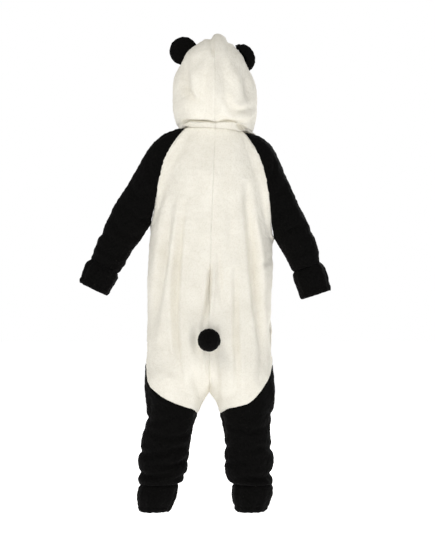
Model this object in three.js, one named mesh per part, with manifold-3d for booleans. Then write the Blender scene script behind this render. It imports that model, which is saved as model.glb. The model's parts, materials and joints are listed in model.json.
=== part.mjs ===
// A child's panda onesie in long-nap plush, standing open and hollow as it is worn.
//
// Millimetres, +Z up. The front of the garment faces -Y, its left side is +X.
// Heights in the tables are above the sole of the foot; the finished group is lowered so that
// its origin is at the middle of the neck, where the wearer holds the garment up.
import * as THREE from "three";
import Module from "manifold-3d";
import { mergeVertices } from "three/addons/utils/BufferGeometryUtils.js";

// ---- Driving dimensions ----
const NECK_HEIGHT = 1062;
const CROTCH_HEIGHT = 360;
const WHITE_BLOCK_TOP = 506; // the first level row of the body, above the curved thigh seam
const CUFF_TOP = 112; // where the trouser leg is gathered into its ankle cuff
const CLOTH = 3; // plush wall
const CUFF_CLOTH = 4; // turned and doubled plush
const SEAM_GAP = 0.3;
const SHOULDER_LEAN = 0.07; // rise of the neck seam towards the left shoulder
const NECK_DIP = 0.1; // fall of the neck seam from back to front
const SMOOTHING = 14; // softness of the fold where sleeve and body meet

const TAIL = { height: 504, radius: 31, sunk: 7 };
const EAR_THICKNESS = 17;
const STUFFED_GAP = 0.8; // from an ear or the tail to the cloth it is sewn to
const SLEEVES_FROM = 640; // the sleeves are all above this height
const ARM_ABOVE = 930; // the sleeve and the trunk are one above this height
const NECK_SETTLES = 90; // the neck's slope is gone this far up the hood
const CUFF_SWELL = [0, 5, 3.5, 0]; // of the ankle cuff, row by row from its hem
const EARS = {
  left: { out: 85, height: 1281, ahead: 12, across: 41, proud: 40, lean: 37, turn: 0 },
  right: { out: 72, height: 1261, ahead: 14, across: 43, proud: 38, lean: 33, turn: 20 },
};
const ZIP = { top: 1038, bottom: 515, tape: 4.4, chain: 6.2 };
const TAPE = { thickness: 1.2, sunk: 1 }; // set below the face of the plush
const CHAIN = { thickness: 2.4, sunk: 0.4 };
const ZIP_ROW = ZIP.bottom - 1; // the level row of the body just below the zip
const SLIDER = { height: 1020, width: 9, length: 13, thickness: 3.2 };
const ARCH = { hole: 1.7, wire: 1.2, foot: 0.4, width: 3 }; // the slider's loop for the pull
const PULL = { length: 30, width: 8, thickness: 1.6, window: 4.4, windowHeight: 4.6 };

// ---- Grid counts ----
const BACK_COLUMNS = 10;
const FRONT_COLUMNS = 8;
const SLEEVE_COLUMNS = 12;
const HOOD_COLUMNS = 12;
const RAGLAN_ROWS = 8;
const SLEEVE_ROWS = 8;
const LEG_ROWS = 9;
const BODY_ROWS = 8;
const CUFF_COLUMNS = 16;
const CUFF_ROWS = 3;
const DENSE = 120; // points on a section before it is divided evenly
const SLEEVE_LINKS = 36; // short links that a sleeve is measured by
const ZIP_STEPS = 16;

// ---- Tables ----
// The middle of the suit, which leans a little to the left at the hips.
const MIDLINE = [
  { height: 0, x: 15.5 },
  { height: 450, x: 15.5 },
  { height: 600, x: 15 },
  { height: 700, x: 12.5 },
  { height: 811, x: 9 },
  { height: 930, x: 4 },
  { height: 1062, x: 0 },
  { height: 1400, x: 0 },
];

// Half the suit in level sections: its inner and outer edge, out from the midline.
// Above the crotch the inner edge is past the midline and the half is cut off there.
const TRUNK = [
  { height: 400, inner: -25, outer: 174 },
  { height: 430, inner: -75, outer: 169 },
  { height: 470, inner: -130, outer: 167 },
  { height: 520, inner: -167, outer: 167 },
  { height: 590, inner: -165, outer: 165 },
  { height: 660, inner: -168, outer: 168 },
  { height: 750, inner: -166, outer: 166 },
  { height: 811, inner: -161, outer: 161 },
  { height: 880, inner: -150, outer: 150 },
  { height: 950, inner: -134, outer: 134 },
  { height: 1000, inner: -117, outer: 117 },
  { height: 1040, inner: -99, outer: 99 },
  { height: 1066, inner: -90, outer: 90 },
  { height: 1100, inner: -86, outer: 86 },
];
const LEG = {
  left: [
    { height: 36, inner: 108, outer: 188 },
    { height: CUFF_TOP, inner: 80, outer: 190 },
    { height: 140, inner: 62, outer: 188 },
    { height: 180, inner: 56, outer: 190 },
    { height: 230, inner: 50, outer: 181 },
    { height: 280, inner: 39, outer: 169 },
    { height: 310, inner: 26, outer: 169 },
    { height: 335, inner: 15, outer: 171 },
    { height: CROTCH_HEIGHT, inner: 0, outer: 174 },
    ...TRUNK,
  ],
  right: [
    { height: 36, inner: 73, outer: 149 },
    { height: CUFF_TOP, inner: 60, outer: 172 },
    { height: 140, inner: 43, outer: 168 },
    { height: 180, inner: 42, outer: 172 },
    { height: 230, inner: 42, outer: 165 },
    { height: 280, inner: 36, outer: 166 },
    { height: 310, inner: 27, outer: 172 },
    { height: 335, inner: 17, outer: 175 },
    { height: CROTCH_HEIGHT, inner: 0, outer: 176 },
    ...TRUNK,
  ],
};

// How far the sections reach behind and in front of the side seam, and how square they are.
const DEPTH = [
  { height: 36, back: 42, front: 46, round: 2 },
  { height: CUFF_TOP, back: 60, front: 62, round: 2 },
  { height: 200, back: 71, front: 72, round: 2.05 },
  { height: 300, back: 84, front: 82, round: 2.1 },
  { height: CROTCH_HEIGHT, back: 95, front: 90, round: 2.15 },
  { height: 400, back: 105, front: 97, round: 2.2 },
  { height: 450, back: 113, front: 104, round: 2.25 },
  { height: 520, back: 117, front: 107, round: 2.3 },
  { height: 650, back: 111, front: 109, round: 2.3 },
  { height: 811, back: 105, front: 106, round: 2.3 },
  { height: 930, back: 97, front: 97, round: 2.3 },
  { height: 1000, back: 84, front: 87, round: 2.2 },
  { height: 1040, back: 70, front: 76, round: 2.1 },
  { height: 1066, back: 62, front: 70, round: 2 },
  { height: 1100, back: 60, front: 68, round: 2 },
];

// Stations down each sleeve: where its middle is, half its width seen from behind, half its depth.
const SLEEVE = {
  left: [
    { out: 62, height: 1030, half: 34, depth: 38 },
    { out: 94, height: 1022, half: 45, depth: 47 },
    { out: 124, height: 1002, half: 51, depth: 55 },
    { out: 145, height: 974, half: 53, depth: 58 },
    { out: 163, height: 938, half: 53.5, depth: 59 },
    { out: 191, height: 889, half: 53, depth: 57 },
    { out: 220, height: 842, half: 54, depth: 54 },
    { out: 246, height: 796, half: 52, depth: 51 },
    { out: 268, height: 757, half: 48, depth: 49 },
    { out: 289, height: 714, half: 45, depth: 45 },
    { out: 298, height: 698, half: 40, depth: 41 },
  ],
  right: [
    { out: 62, height: 1022, half: 34, depth: 38 },
    { out: 92, height: 1013, half: 45, depth: 47 },
    { out: 114, height: 990, half: 51, depth: 55 },
    { out: 127, height: 960, half: 53, depth: 58 },
    { out: 139, height: 928, half: 53.5, depth: 59 },
    { out: 172, height: 856, half: 53, depth: 57 },
    { out: 212, height: 782, half: 49, depth: 53 },
    { out: 234, height: 738, half: 45.5, depth: 49 },
    { out: 244, height: 708, half: 42, depth: 45 },
    { out: 248, height: 697, half: 39.5, depth: 41 },
  ],
};
const CUFF = {
  left: [
    { out: 299, height: 697, half: 45, depth: 45 },
    { out: 309, height: 677, half: 46.5, depth: 45 },
    { out: 328.5, height: 636.5, half: 41, depth: 40 },
  ],
  right: [
    { out: 247, height: 697, half: 43, depth: 44 },
    { out: 255, height: 676, half: 45, depth: 45 },
    { out: 272.5, height: 621, half: 41, depth: 40 },
  ],
};

// The raglan seam: how far out from the midline it runs at each height.
const RAGLAN = {
  left: [
    { height: 770, out: 176 },
    { height: 812, out: 165 },
    { height: 856, out: 156.5 },
    { height: 923, out: 146 },
    { height: 958, out: 140 },
    { height: 991, out: 132 },
    { height: 1015, out: 120 },
    { height: 1039, out: 106 },
    { height: 1072, out: 80 },
  ],
  right: [
    { height: 740, out: 182 },
    { height: 792, out: 165 },
    { height: 832, out: 158.5 },
    { height: 877, out: 152 },
    { height: 923, out: 143 },
    { height: 965, out: 132 },
    { height: 991, out: 121 },
    { height: 1034, out: 100 },
    { height: 1062, out: 80 },
  ],
};
// Which way the rows of a sleeve rise from the raglan seam, in degrees, from underarm to neck.
const SLEEVE_FAN = {
  left: [
    { part: 0, rise: 31 },
    { part: 0.6, rise: 33 },
    { part: 0.85, rise: 38 },
    { part: 1, rise: 20 },
  ],
  right: [
    { part: 0, rise: 25 },
    { part: 0.6, rise: 30 },
    { part: 0.85, rise: 36 },
    { part: 1, rise: 20 },
  ],
};

// The seam between the cream body and the black leg, from the inner leg (0) to the side (1).
const THIGH_SEAM = {
  left: [
    { part: 0, height: 301 },
    { part: 0.12, height: 306 },
    { part: 0.35, height: 322 },
    { part: 0.6, height: 345 },
    { part: 0.78, height: 376 },
    { part: 0.9, height: 412 },
    { part: 1, height: 447 },
  ],
  right: [
    { part: 0, height: 302 },
    { part: 0.12, height: 306 },
    { part: 0.3, height: 318 },
    { part: 0.5, height: 330 },
    { part: 0.62, height: 350 },
    { part: 0.72, height: 392 },
    { part: 0.86, height: 420 },
    { part: 1, height: 447 },
  ],
};

// The hood in level sections, before it leans with the shoulders.
const HOOD = [
  { height: 1062, half: 91, back: 62, front: 70 },
  { height: 1080, half: 103, back: 67, front: 73 },
  { height: 1093, half: 109, back: 71, front: 76 },
  { height: 1104, half: 112, back: 90, front: 78 },
  { height: 1130, half: 113, back: 102, front: 80 },
  { height: 1160, half: 113, back: 108, front: 82 },
  { height: 1190, half: 109, back: 108, front: 84 },
  { height: 1215, half: 103, back: 104, front: 86 },
  { height: 1240, half: 93, back: 96, front: 86 },
  { height: 1265, half: 78, back: 82, front: 82 },
  { height: 1285, half: 61, back: 64, front: 68 },
  { height: 1300, half: 40, back: 42, front: 42 },
  { height: 1308, half: 20, back: 20, front: 14 },
  { height: 1311, half: 3, back: 3, front: 3 },
];
// Rows of the hood: where each leaves the crown seam (an angle about the middle of the head,
// from straight back), and where it ends on the edge round the face.
const HOOD_ROWS = [
  { crown: -52, edgeHeight: 1068, edgeOut: 22 },
  { crown: -45, edgeHeight: 1075, edgeOut: 36 },
  { crown: -34, edgeHeight: 1085, edgeOut: 49 },
  { crown: -22, edgeHeight: 1099, edgeOut: 60 },
  { crown: -7, edgeHeight: 1118, edgeOut: 69 },
  { crown: 10, edgeHeight: 1140, edgeOut: 75 },
  { crown: 28, edgeHeight: 1163, edgeOut: 78 },
  { crown: 46, edgeHeight: 1186, edgeOut: 78 },
  { crown: 66, edgeHeight: 1207, edgeOut: 74 },
  { crown: 88, edgeHeight: 1224, edgeOut: 67 },
  { crown: 110, edgeHeight: 1238, edgeOut: 57 },
  { crown: 127, edgeHeight: 1248, edgeOut: 44 },
];
const HEAD_MIDDLE = 1165;
const CROWN_PUFF = { x: -10, y: -22, reach: 30, rise: 24 };

// The deepest hanging folds of the back, in and out of the cloth: place across at the top and
// the bottom of the fold, the heights it runs between, how wide and how deep it is.
const BACK_FOLDS = [
  { top: 870, bottom: 540, outTop: 118, outBottom: 150, width: 22, depth: 7 },
  { top: 850, bottom: 400, outTop: 86, outBottom: 82, width: 20, depth: 7 },
  { top: 900, bottom: 440, outTop: -84, outBottom: -136, width: 24, depth: 9 },
  { top: 690, bottom: 380, outTop: -54, outBottom: -70, width: 20, depth: 6 },
];

// ---- Materials ----
const COLOURS = {
  cream: { color: 0xf0ecde, roughness: 0.95, metalness: 0 },
  black: { color: 0x0c0b0c, roughness: 0.9, metalness: 0 },
  tape: { color: 0xe9e5d8, roughness: 0.8, metalness: 0 },
  chain: { color: 0xdcd8cc, roughness: 0.45, metalness: 0 },
  metal: { color: 0xb8b9bb, roughness: 0.3, metalness: 1 },
};

// ---- Curves through the tables ----

/** A smooth function through two columns of a table, which never overshoots its rows. */
function through(table, from, to) {
  const xs = table.map((row) => row[from]);
  const ys = table.map((row) => row[to]);
  const slopes = xs.slice(1).map((x, i) => (ys[i + 1] - ys[i]) / (x - xs[i]));
  const tangents = xs.map((_, i) => {
    if (i === 0) return slopes[0];
    if (i === xs.length - 1) return slopes[i - 1];
    const product = slopes[i - 1] * slopes[i];
    return product <= 0 ? 0 : (2 * product) / (slopes[i - 1] + slopes[i]);
  });
  return (x) => {
    const at = THREE.MathUtils.clamp(x, xs[0], xs.at(-1));
    let i = 0;
    while (i < xs.length - 2 && at > xs[i + 1]) i += 1;
    const span = xs[i + 1] - xs[i];
    const t = (at - xs[i]) / span;
    const ends = ys[i] * (1 + 2 * t) * (1 - t) ** 2 + ys[i + 1] * t * t * (3 - 2 * t);
    return ends + span * t * (1 - t) * (tangents[i] * (1 - t) - tangents[i + 1] * t);
  };
}

const SIDES = { left: 1, right: -1 };
const midline = through(MIDLINE, "height", "x");
const backDepth = through(DEPTH, "height", "back");
const frontDepth = through(DEPTH, "height", "front");
const roundness = through(DEPTH, "height", "round");
const hoodHalf = through(HOOD, "height", "half");
const hoodBack = through(HOOD, "height", "back");
const hoodFront = through(HOOD, "height", "front");

/** The same curves for the left and the right half. */
function bothSides(tables, from, to) {
  return { left: through(tables.left, from, to), right: through(tables.right, from, to) };
}
const innerEdge = bothSides(LEG, "height", "inner");
const outerEdge = bothSides(LEG, "height", "outer");
const raglanOut = bothSides(RAGLAN, "height", "out");
const thighSeam = bothSides(THIGH_SEAM, "part", "height");
const fanRise = bothSides(SLEEVE_FAN, "part", "rise");

/** The curve down the middle of a sleeve, from the neck to the wrist. */
function sleeveAxis(side) {
  return new THREE.CatmullRomCurve3(
    SLEEVE[side].map(({ out, height }) => new THREE.Vector3(SIDES[side] * out, 0, height)),
  );
}

/** A sleeve's stations as one smooth run of short tapered links. */
function sleeveRun(side) {
  const stations = SLEEVE[side];
  const axis = sleeveAxis(side);
  const index = stations.map((station, i) => ({ ...station, part: i / (stations.length - 1) }));
  const half = through(index, "part", "half");
  const depth = through(index, "part", "depth");
  return Array.from({ length: SLEEVE_LINKS + 1 }, (_, i) => {
    const part = i / SLEEVE_LINKS;
    return { point: axis.getPoint(part), half: half(part), depth: depth(part) };
  });
}
const sleeveRuns = { left: sleeveRun("left"), right: sleeveRun("right") };

// ---- The outer surface of the suit, as a function that is negative inside ----

/** Distance to the trunk or leg, from its level section. */
function trunkField(side, p) {
  const inner = innerEdge[side](p.z);
  const outer = outerEdge[side](p.z);
  const half = (outer - inner) / 2;
  const across = SIDES[side] * (p.x - midline(p.z)) - (inner + outer) / 2;
  const depth = p.y > 0 ? backDepth(p.z) : frontDepth(p.z);
  const power = roundness(p.z);
  const ratio = (Math.abs(across) / half) ** power + (Math.abs(p.y) / depth) ** power;
  return Math.hypot(across, p.y) * (1 - ratio ** (-1 / power));
}

/** Distance to the sleeve, from its nearest link. */
function sleeveField(side, p) {
  const run = sleeveRuns[side];
  let nearest = Infinity;
  for (let i = 0; i + 1 < run.length; i += 1) {
    const a = run[i];
    const b = run[i + 1];
    const dx = b.point.x - a.point.x;
    const dz = b.point.z - a.point.z;
    const along = ((p.x - a.point.x) * dx + (p.z - a.point.z) * dz) / (dx * dx + dz * dz);
    const t = i + 2 === run.length ? Math.max(along, 0) : THREE.MathUtils.clamp(along, 0, 1);
    const half = THREE.MathUtils.lerp(a.half, b.half, Math.min(t, 1));
    const depth = THREE.MathUtils.lerp(a.depth, b.depth, Math.min(t, 1));
    const gapX = p.x - a.point.x - t * dx;
    const gapZ = p.z - a.point.z - t * dz;
    const reach = Math.hypot(gapX, gapZ, (p.y * half) / depth);
    nearest = Math.min(nearest, reach - half);
  }
  return nearest;
}

/** Trunk and sleeve run into each other with a soft fold under the arm. */
function suitField(side, p) {
  const trunk = trunkField(side, p);
  if (p.z < SLEEVES_FROM) return trunk;
  const sleeve = sleeveField(side, p);
  const blend = Math.max(SMOOTHING - Math.abs(trunk - sleeve), 0) / SMOOTHING;
  return Math.min(trunk, sleeve) - (blend * blend * SMOOTHING) / 4;
}

/** Distance to the hood before it leans, from its level section. */
function hoodField(p) {
  const depth = p.y > 0 ? hoodBack(p.z) : hoodFront(p.z);
  const half = hoodHalf(p.z);
  const over = Math.max(p.z - HOOD.at(-1).height, 0);
  return Math.hypot(p.x, p.y) * (1 - 1 / Math.hypot(p.x / half, p.y / depth)) + over;
}

/** Where a ray from inside first leaves the surface. */
function leave(field, from, direction, reach = 260) {
  const step = 4;
  const p = new THREE.Vector3();
  const at = (distance) => field(p.copy(from).addScaledVector(direction, distance));
  let far = step;
  while (far < reach && at(far) < 0) far += step;
  let near = far - step;
  for (let i = 0; i < 18; i += 1) {
    const middle = (near + far) / 2;
    if (at(middle) < 0) near = middle;
    else far = middle;
  }
  return from.clone().addScaledVector(direction, (near + far) / 2);
}

/** The direction in which a field grows. */
function outward(field, p) {
  const step = 0.5;
  const slope = (axis) => {
    const offset = new THREE.Vector3().setComponent(axis, step);
    return field(p.clone().add(offset)) - field(p.clone().sub(offset));
  };
  return new THREE.Vector3(slope(0), slope(1), slope(2)).normalize();
}

/** Points spaced evenly along a run of points. */
function evenly(points, columns) {
  const lengths = [0];
  points.slice(1).forEach((p, i) => lengths.push(lengths[i] + p.distanceTo(points[i])));
  let link = 0;
  return Array.from({ length: columns + 1 }, (_, i) => {
    const wanted = (lengths.at(-1) * i) / columns;
    while (link < points.length - 2 && lengths[link + 1] < wanted) link += 1;
    const t = (wanted - lengths[link]) / (lengths[link + 1] - lengths[link]);
    return points[link].clone().lerp(points[link + 1], THREE.MathUtils.clamp(t, 0, 1));
  });
}

/** Even steps that draw together towards the underarm. */
function closing(part) {
  return 1 - (1 - part) ** 1.4;
}

// ---- Seams that two pieces share ----

/** How far a point's row is lifted near the neck, so that the top row is the sloping neck seam. */
function neckTilt(x, y) {
  return SHOULDER_LEAN * x + NECK_DIP * y;
}

/** A point on the suit at an angle round the trunk; tilt grows to 1 at the neck. */
function trunkPoint(side, height, angle, tilt) {
  const field = height < underarm[side] + 1 ? trunkField : suitField;
  const level = (z) => {
    const middle = (innerEdge[side](z) + outerEdge[side](z)) / 2;
    const start = new THREE.Vector3(midline(z) + SIDES[side] * Math.max(middle, 0), 0, z);
    const way = new THREE.Vector3(SIDES[side] * Math.cos(angle), Math.sin(angle), 0);
    return leave((p) => field(side, p), start, way);
  };
  let p = level(height);
  for (let i = 0; i < 3 && tilt > 0; i += 1) p = level(height + tilt * neckTilt(p.x, p.y));
  return p;
}

/** Heights of the raglan rows from the underarm to the neck, closer under the arm. */
function raglanHeights(side) {
  const seam = (z) => {
    const x = midline(z) + SIDES[side] * raglanOut[side](z);
    return suitField(side, new THREE.Vector3(x, 0, z));
  };
  let low = RAGLAN[side][0].height;
  let high = ARM_ABOVE;
  for (let i = 0; i < 24; i += 1) {
    const middle = (low + high) / 2;
    if (seam(middle) < 0) high = middle;
    else low = middle;
  }
  return Array.from(
    { length: RAGLAN_ROWS + 1 },
    (_, i) => high + (NECK_HEIGHT - high) * (i / RAGLAN_ROWS) ** 1.5,
  );
}

const underarm = { left: raglanHeights("left")[0], right: raglanHeights("right")[0] };

/** How much of the neck's slope a raglan row takes. */
function rowTilt(row) {
  return THREE.MathUtils.smoothstep(row / RAGLAN_ROWS, 0.45, 1);
}

/** The raglan seam's point on one row, behind (facing +1) or in front (-1). */
function raglanPoint(side, heights, row, facing) {
  if (row === 0) {
    const x = midline(heights[0]) + SIDES[side] * raglanOut[side](heights[0]);
    return new THREE.Vector3(x, 0, heights[0]);
  }
  let p = new THREE.Vector3();
  let z = heights[row];
  for (let i = 0; i < 5; i += 1) {
    const x = midline(z) + SIDES[side] * raglanOut[side](z);
    const start = new THREE.Vector3(x, 0, z);
    p = leave((q) => suitField(side, q), start, new THREE.Vector3(0, facing, 0));
    z = heights[row] + rowTilt(row) * neckTilt(p.x, p.y);
  }
  return p;
}

// ---- Cloth ----

/** A grid of cloth: points and the outward normal at each. */
function grid(points, normals) {
  return { points, normals };
}

/**
 * Moves the edges of a grid in by half a seam gap: both sides, and of `edges` the "bottom" and
 * the "top". From the row `raglanFrom` up, the last column is a raglan seam, which parts straight
 * across the suit instead: `away` is +1 or -1 along X. With "underarm" the first column is too.
 */
function pullIn(points, edges, raglanFrom = Infinity, away = 0) {
  const rows = points.length;
  const columns = points[0].length;
  const moved = points.map((row) => row.map((p) => p.clone()));
  const towards = (r, c, r2, c2) => {
    const way = points[r2][c2].clone().sub(points[r][c]).normalize();
    moved[r][c].addScaledVector(way, SEAM_GAP / 2);
  };
  const sleeve = edges.includes("underarm");
  for (let r = 0; r < rows; r += 1) {
    const onRaglan = r >= raglanFrom;
    if (onRaglan) moved[r][columns - 1].x += (away * SEAM_GAP) / 2;
    else towards(r, columns - 1, r, columns - 2);
    if (onRaglan && sleeve) moved[r][0].x += (away * SEAM_GAP) / 2;
    else towards(r, 0, r, 1);
  }
  for (let c = 0; c < columns; c += 1) {
    if (edges.includes("bottom")) towards(0, c, 1, c);
    if (edges.includes("top")) towards(rows - 1, c, rows - 2, c);
  }
  return moved;
}

/** A closed wall from a grid: its outer face, its inner face and the rim between them. */
function wall({ points, normals }, thickness, closed = false) {
  const rows = points.length;
  const columns = points[0].length;
  const outer = points.flat();
  const inner = outer.map((p, i) => p.clone().addScaledVector(normals.flat()[i], -thickness));
  const index = [];
  const quad = (a, b, c, d) => index.push(a, b, c, a, c, d);
  const at = (r, c) => r * columns + (c % columns);
  const under = outer.length;
  const across = closed ? columns : columns - 1;
  for (let r = 0; r + 1 < rows; r += 1) {
    for (let c = 0; c < across; c += 1) {
      quad(at(r, c), at(r, c + 1), at(r + 1, c + 1), at(r + 1, c));
      quad(under + at(r, c), under + at(r + 1, c), under + at(r + 1, c + 1), under + at(r, c + 1));
    }
  }
  // Rims that meet across a seam are split along the same diagonals, so that they stay apart.
  const last = rows - 1;
  const end = columns - 1;
  for (let c = 0; c < across; c += 1) {
    quad(under + at(0, c), under + at(0, c + 1), at(0, c + 1), at(0, c));
    quad(under + at(last, c), at(last, c), at(last, c + 1), under + at(last, c + 1));
  }
  for (let r = 0; !closed && r + 1 < rows; r += 1) {
    quad(at(r + 1, 0), under + at(r + 1, 0), under + at(r, 0), at(r, 0));
    quad(at(r + 1, end), at(r, end), under + at(r, end), under + at(r + 1, end));
  }
  return facingOut(new THREE.BufferGeometry()
    .setAttribute("position", new THREE.Float32BufferAttribute(
      [...outer, ...inner].flatMap((p) => p.toArray()), 3))
    .setIndex(index));
}

/** Turns a closed geometry the right way out, by the sign of its volume. */
function facingOut(geometry) {
  const position = geometry.getAttribute("position");
  const index = geometry.index.array;
  const [a, b, c] = [new THREE.Vector3(), new THREE.Vector3(), new THREE.Vector3()];
  let volume = 0;
  for (let i = 0; i < index.length; i += 3) {
    a.fromBufferAttribute(position, index[i]);
    b.fromBufferAttribute(position, index[i + 1]);
    c.fromBufferAttribute(position, index[i + 2]);
    volume += a.dot(b.cross(c));
  }
  if (volume < 0) {
    for (let i = 0; i < index.length; i += 3) {
      [index[i + 1], index[i + 2]] = [index[i + 2], index[i + 1]];
    }
  }
  geometry.computeVertexNormals();
  return geometry;
}

const group = new THREE.Group();

/** Adds one named piece to the suit. */
function piece(name, geometry, colour) {
  const mesh = new THREE.Mesh(geometry, new THREE.MeshStandardMaterial(COLOURS[colour]));
  mesh.name = name;
  group.add(mesh);
  return mesh;
}

// ---- Body and legs ----

/** How far from the midline a panel starts: the zip stands between the two fronts. */
function panelStart(facing, height) {
  if (facing > 0) return 0;
  const open = THREE.MathUtils.smoothstep(height, WHITE_BLOCK_TOP, ZIP_ROW);
  return open * (ZIP.chain / 2 + ZIP.tape + 2 * SEAM_GAP);
}

/** A level or sloping section of one half, from the midline or inner leg round to the side. */
function section(side, facing, height, tilt = 0, end = null) {
  const legMiddle = (innerEdge[side](height) + outerEdge[side](height)) / 2;
  const middle = midline(height) + SIDES[side] * Math.max(legMiddle, 0);
  const last = end ? Math.atan2(Math.abs(end.y), Math.abs(end.x - middle)) : 0;
  const points = Array.from({ length: DENSE + 1 }, (_, i) => {
    const angle = facing * THREE.MathUtils.lerp(Math.PI, last, i / DENSE);
    return trunkPoint(side, height, angle, tilt);
  });
  if (end) points[DENSE] = end.clone();
  const out = (p) => SIDES[side] * (p.x - midline(p.z));
  const start = panelStart(facing, height);
  const first = points.findIndex((p) => out(p) > start + 1e-6);
  if (first <= 0) return points;
  const t = (start - out(points[first - 1])) / (out(points[first]) - out(points[first - 1]));
  return [points[first - 1].clone().lerp(points[first], t), ...points.slice(first)];
}

/** How far a hanging fold draws the cloth in at a point of the back. */
function foldDepth(p) {
  return BACK_FOLDS.reduce((sum, fold) => {
    const part = (fold.top - p.z) / (fold.top - fold.bottom);
    if (part <= 0 || part >= 1) return sum;
    const centre = THREE.MathUtils.lerp(fold.outTop, fold.outBottom, part);
    const across = (p.x - midline(p.z) - centre) / fold.width;
    return sum + fold.depth * Math.sin(Math.PI * part) * Math.exp(-across * across);
  }, 0);
}

/** Points, normals and hanging folds of a panel of the trunk or leg. */
function panel(side, facing, rows, raglanFrom) {
  const field = (p) => (p.z < underarm[side] - 1e-6 ? trunkField : suitField)(side, p);
  const normals = rows.map((row) => row.map((p, column) => {
    const normal = outward(field, p);
    const atMiddle = column === 0 && p.z > CROTCH_HEIGHT + 1;
    if (atMiddle) normal.x = 0;
    if (column === 0 && Math.abs(p.z - CROTCH_HEIGHT) < 1) normal.set(0, 0, -1);
    return normal.normalize();
  }));
  const folded = rows.map((row, r) => row.map((p, c) => {
    const depth = facing > 0 && c > 0 && c < row.length - 1 ? foldDepth(p) : 0;
    return p.clone().addScaledVector(normals[r][c], -depth);
  }));
  return grid(pullIn(folded, ["bottom", "top"], raglanFrom, -SIDES[side]), normals);
}

/** The cream half back or half front, from the thigh seam to the neck. */
function bodyPanel(side, facing) {
  const columns = facing > 0 ? BACK_COLUMNS : FRONT_COLUMNS;
  const seamStart = thighSeam[side](0);
  const crotchPart = (CROTCH_HEIGHT - seamStart) / (WHITE_BLOCK_TOP - seamStart);
  const lowParts = [0, crotchPart / 2, crotchPart, 0.4, 0.54, 0.69, 0.85];
  const rows = lowParts.map((part) => Array.from({ length: columns + 1 }, (_, column) => {
    const across = column / columns;
    const height = THREE.MathUtils.lerp(thighSeam[side](across), WHITE_BLOCK_TOP, part);
    return evenly(section(side, facing, height), columns)[column];
  }));
  const heights = raglanHeights(side);
  rows.push(evenly(section(side, facing, WHITE_BLOCK_TOP), columns));
  for (let r = 0; r < BODY_ROWS; r += 1) {
    const height = THREE.MathUtils.lerp(ZIP_ROW, heights[0], closing(r / BODY_ROWS));
    rows.push(evenly(section(side, facing, height), columns));
  }
  heights.forEach((height, r) => {
    const end = raglanPoint(side, heights, r, facing);
    rows.push(evenly(section(side, facing, height, rowTilt(r), end), columns));
  });
  return panel(side, facing, rows, rows.length - heights.length);
}

/** The black half of a trouser leg, from its ankle cuff to the thigh seam. */
function legPanel(side, facing) {
  const columns = facing > 0 ? BACK_COLUMNS : FRONT_COLUMNS;
  const rows = Array.from({ length: LEG_ROWS + 1 }, (_, r) => {
    return Array.from({ length: columns + 1 }, (__, column) => {
      const top = thighSeam[side](column / columns);
      const height = THREE.MathUtils.lerp(CUFF_TOP, top, r / LEG_ROWS);
      return evenly(section(side, facing, height), columns)[column];
    });
  });
  return panel(side, facing, rows);
}

/** A closed ring of cloth from rows of section shapes. */
function ring(rows, thickness) {
  const middle = (row) => row.reduce((sum, p) => sum.add(p), new THREE.Vector3())
    .divideScalar(row.length);
  const normals = rows.map((row) => row.map((p) => p.clone().sub(middle(row)).normalize()));
  return wall(grid(rows, normals), thickness, true);
}

/** The ankle cuff, a doubled band that draws in towards the foot. */
function ankleCuff(side) {
  const rows = Array.from({ length: CUFF_ROWS + 1 }, (_, r) => {
    const part = r / CUFF_ROWS;
    const height = THREE.MathUtils.lerp(LEG[side][0].height, CUFF_TOP - SEAM_GAP / 2, part);
    return Array.from({ length: CUFF_COLUMNS }, (__, c) => {
      const angle = (2 * Math.PI * c) / CUFF_COLUMNS;
      const p = trunkPoint(side, height, angle, 0);
      const way = new THREE.Vector3(SIDES[side] * Math.cos(angle), Math.sin(angle), 0);
      return p.addScaledVector(way, CUFF_SWELL[r]);
    });
  });
  return ring(rows, CUFF_CLOTH);
}

// ---- Sleeves ----

/** A row of a sleeve in the plane through a centre, from one angle over the top to another. */
function sleeveArc(side, field, centre, rise, fromAngle, toAngle) {
  const rad = THREE.MathUtils.degToRad(rise);
  const out = new THREE.Vector3(SIDES[side] * Math.cos(rad), 0, Math.sin(rad));
  return Array.from({ length: DENSE + 1 }, (_, i) => {
    const angle = THREE.MathUtils.lerp(fromAngle, toAngle, i / DENSE);
    const way = out.clone().multiplyScalar(Math.cos(angle));
    way.y = Math.sin(angle);
    return leave((p) => field(side, p), centre, way.normalize());
  });
}

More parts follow.
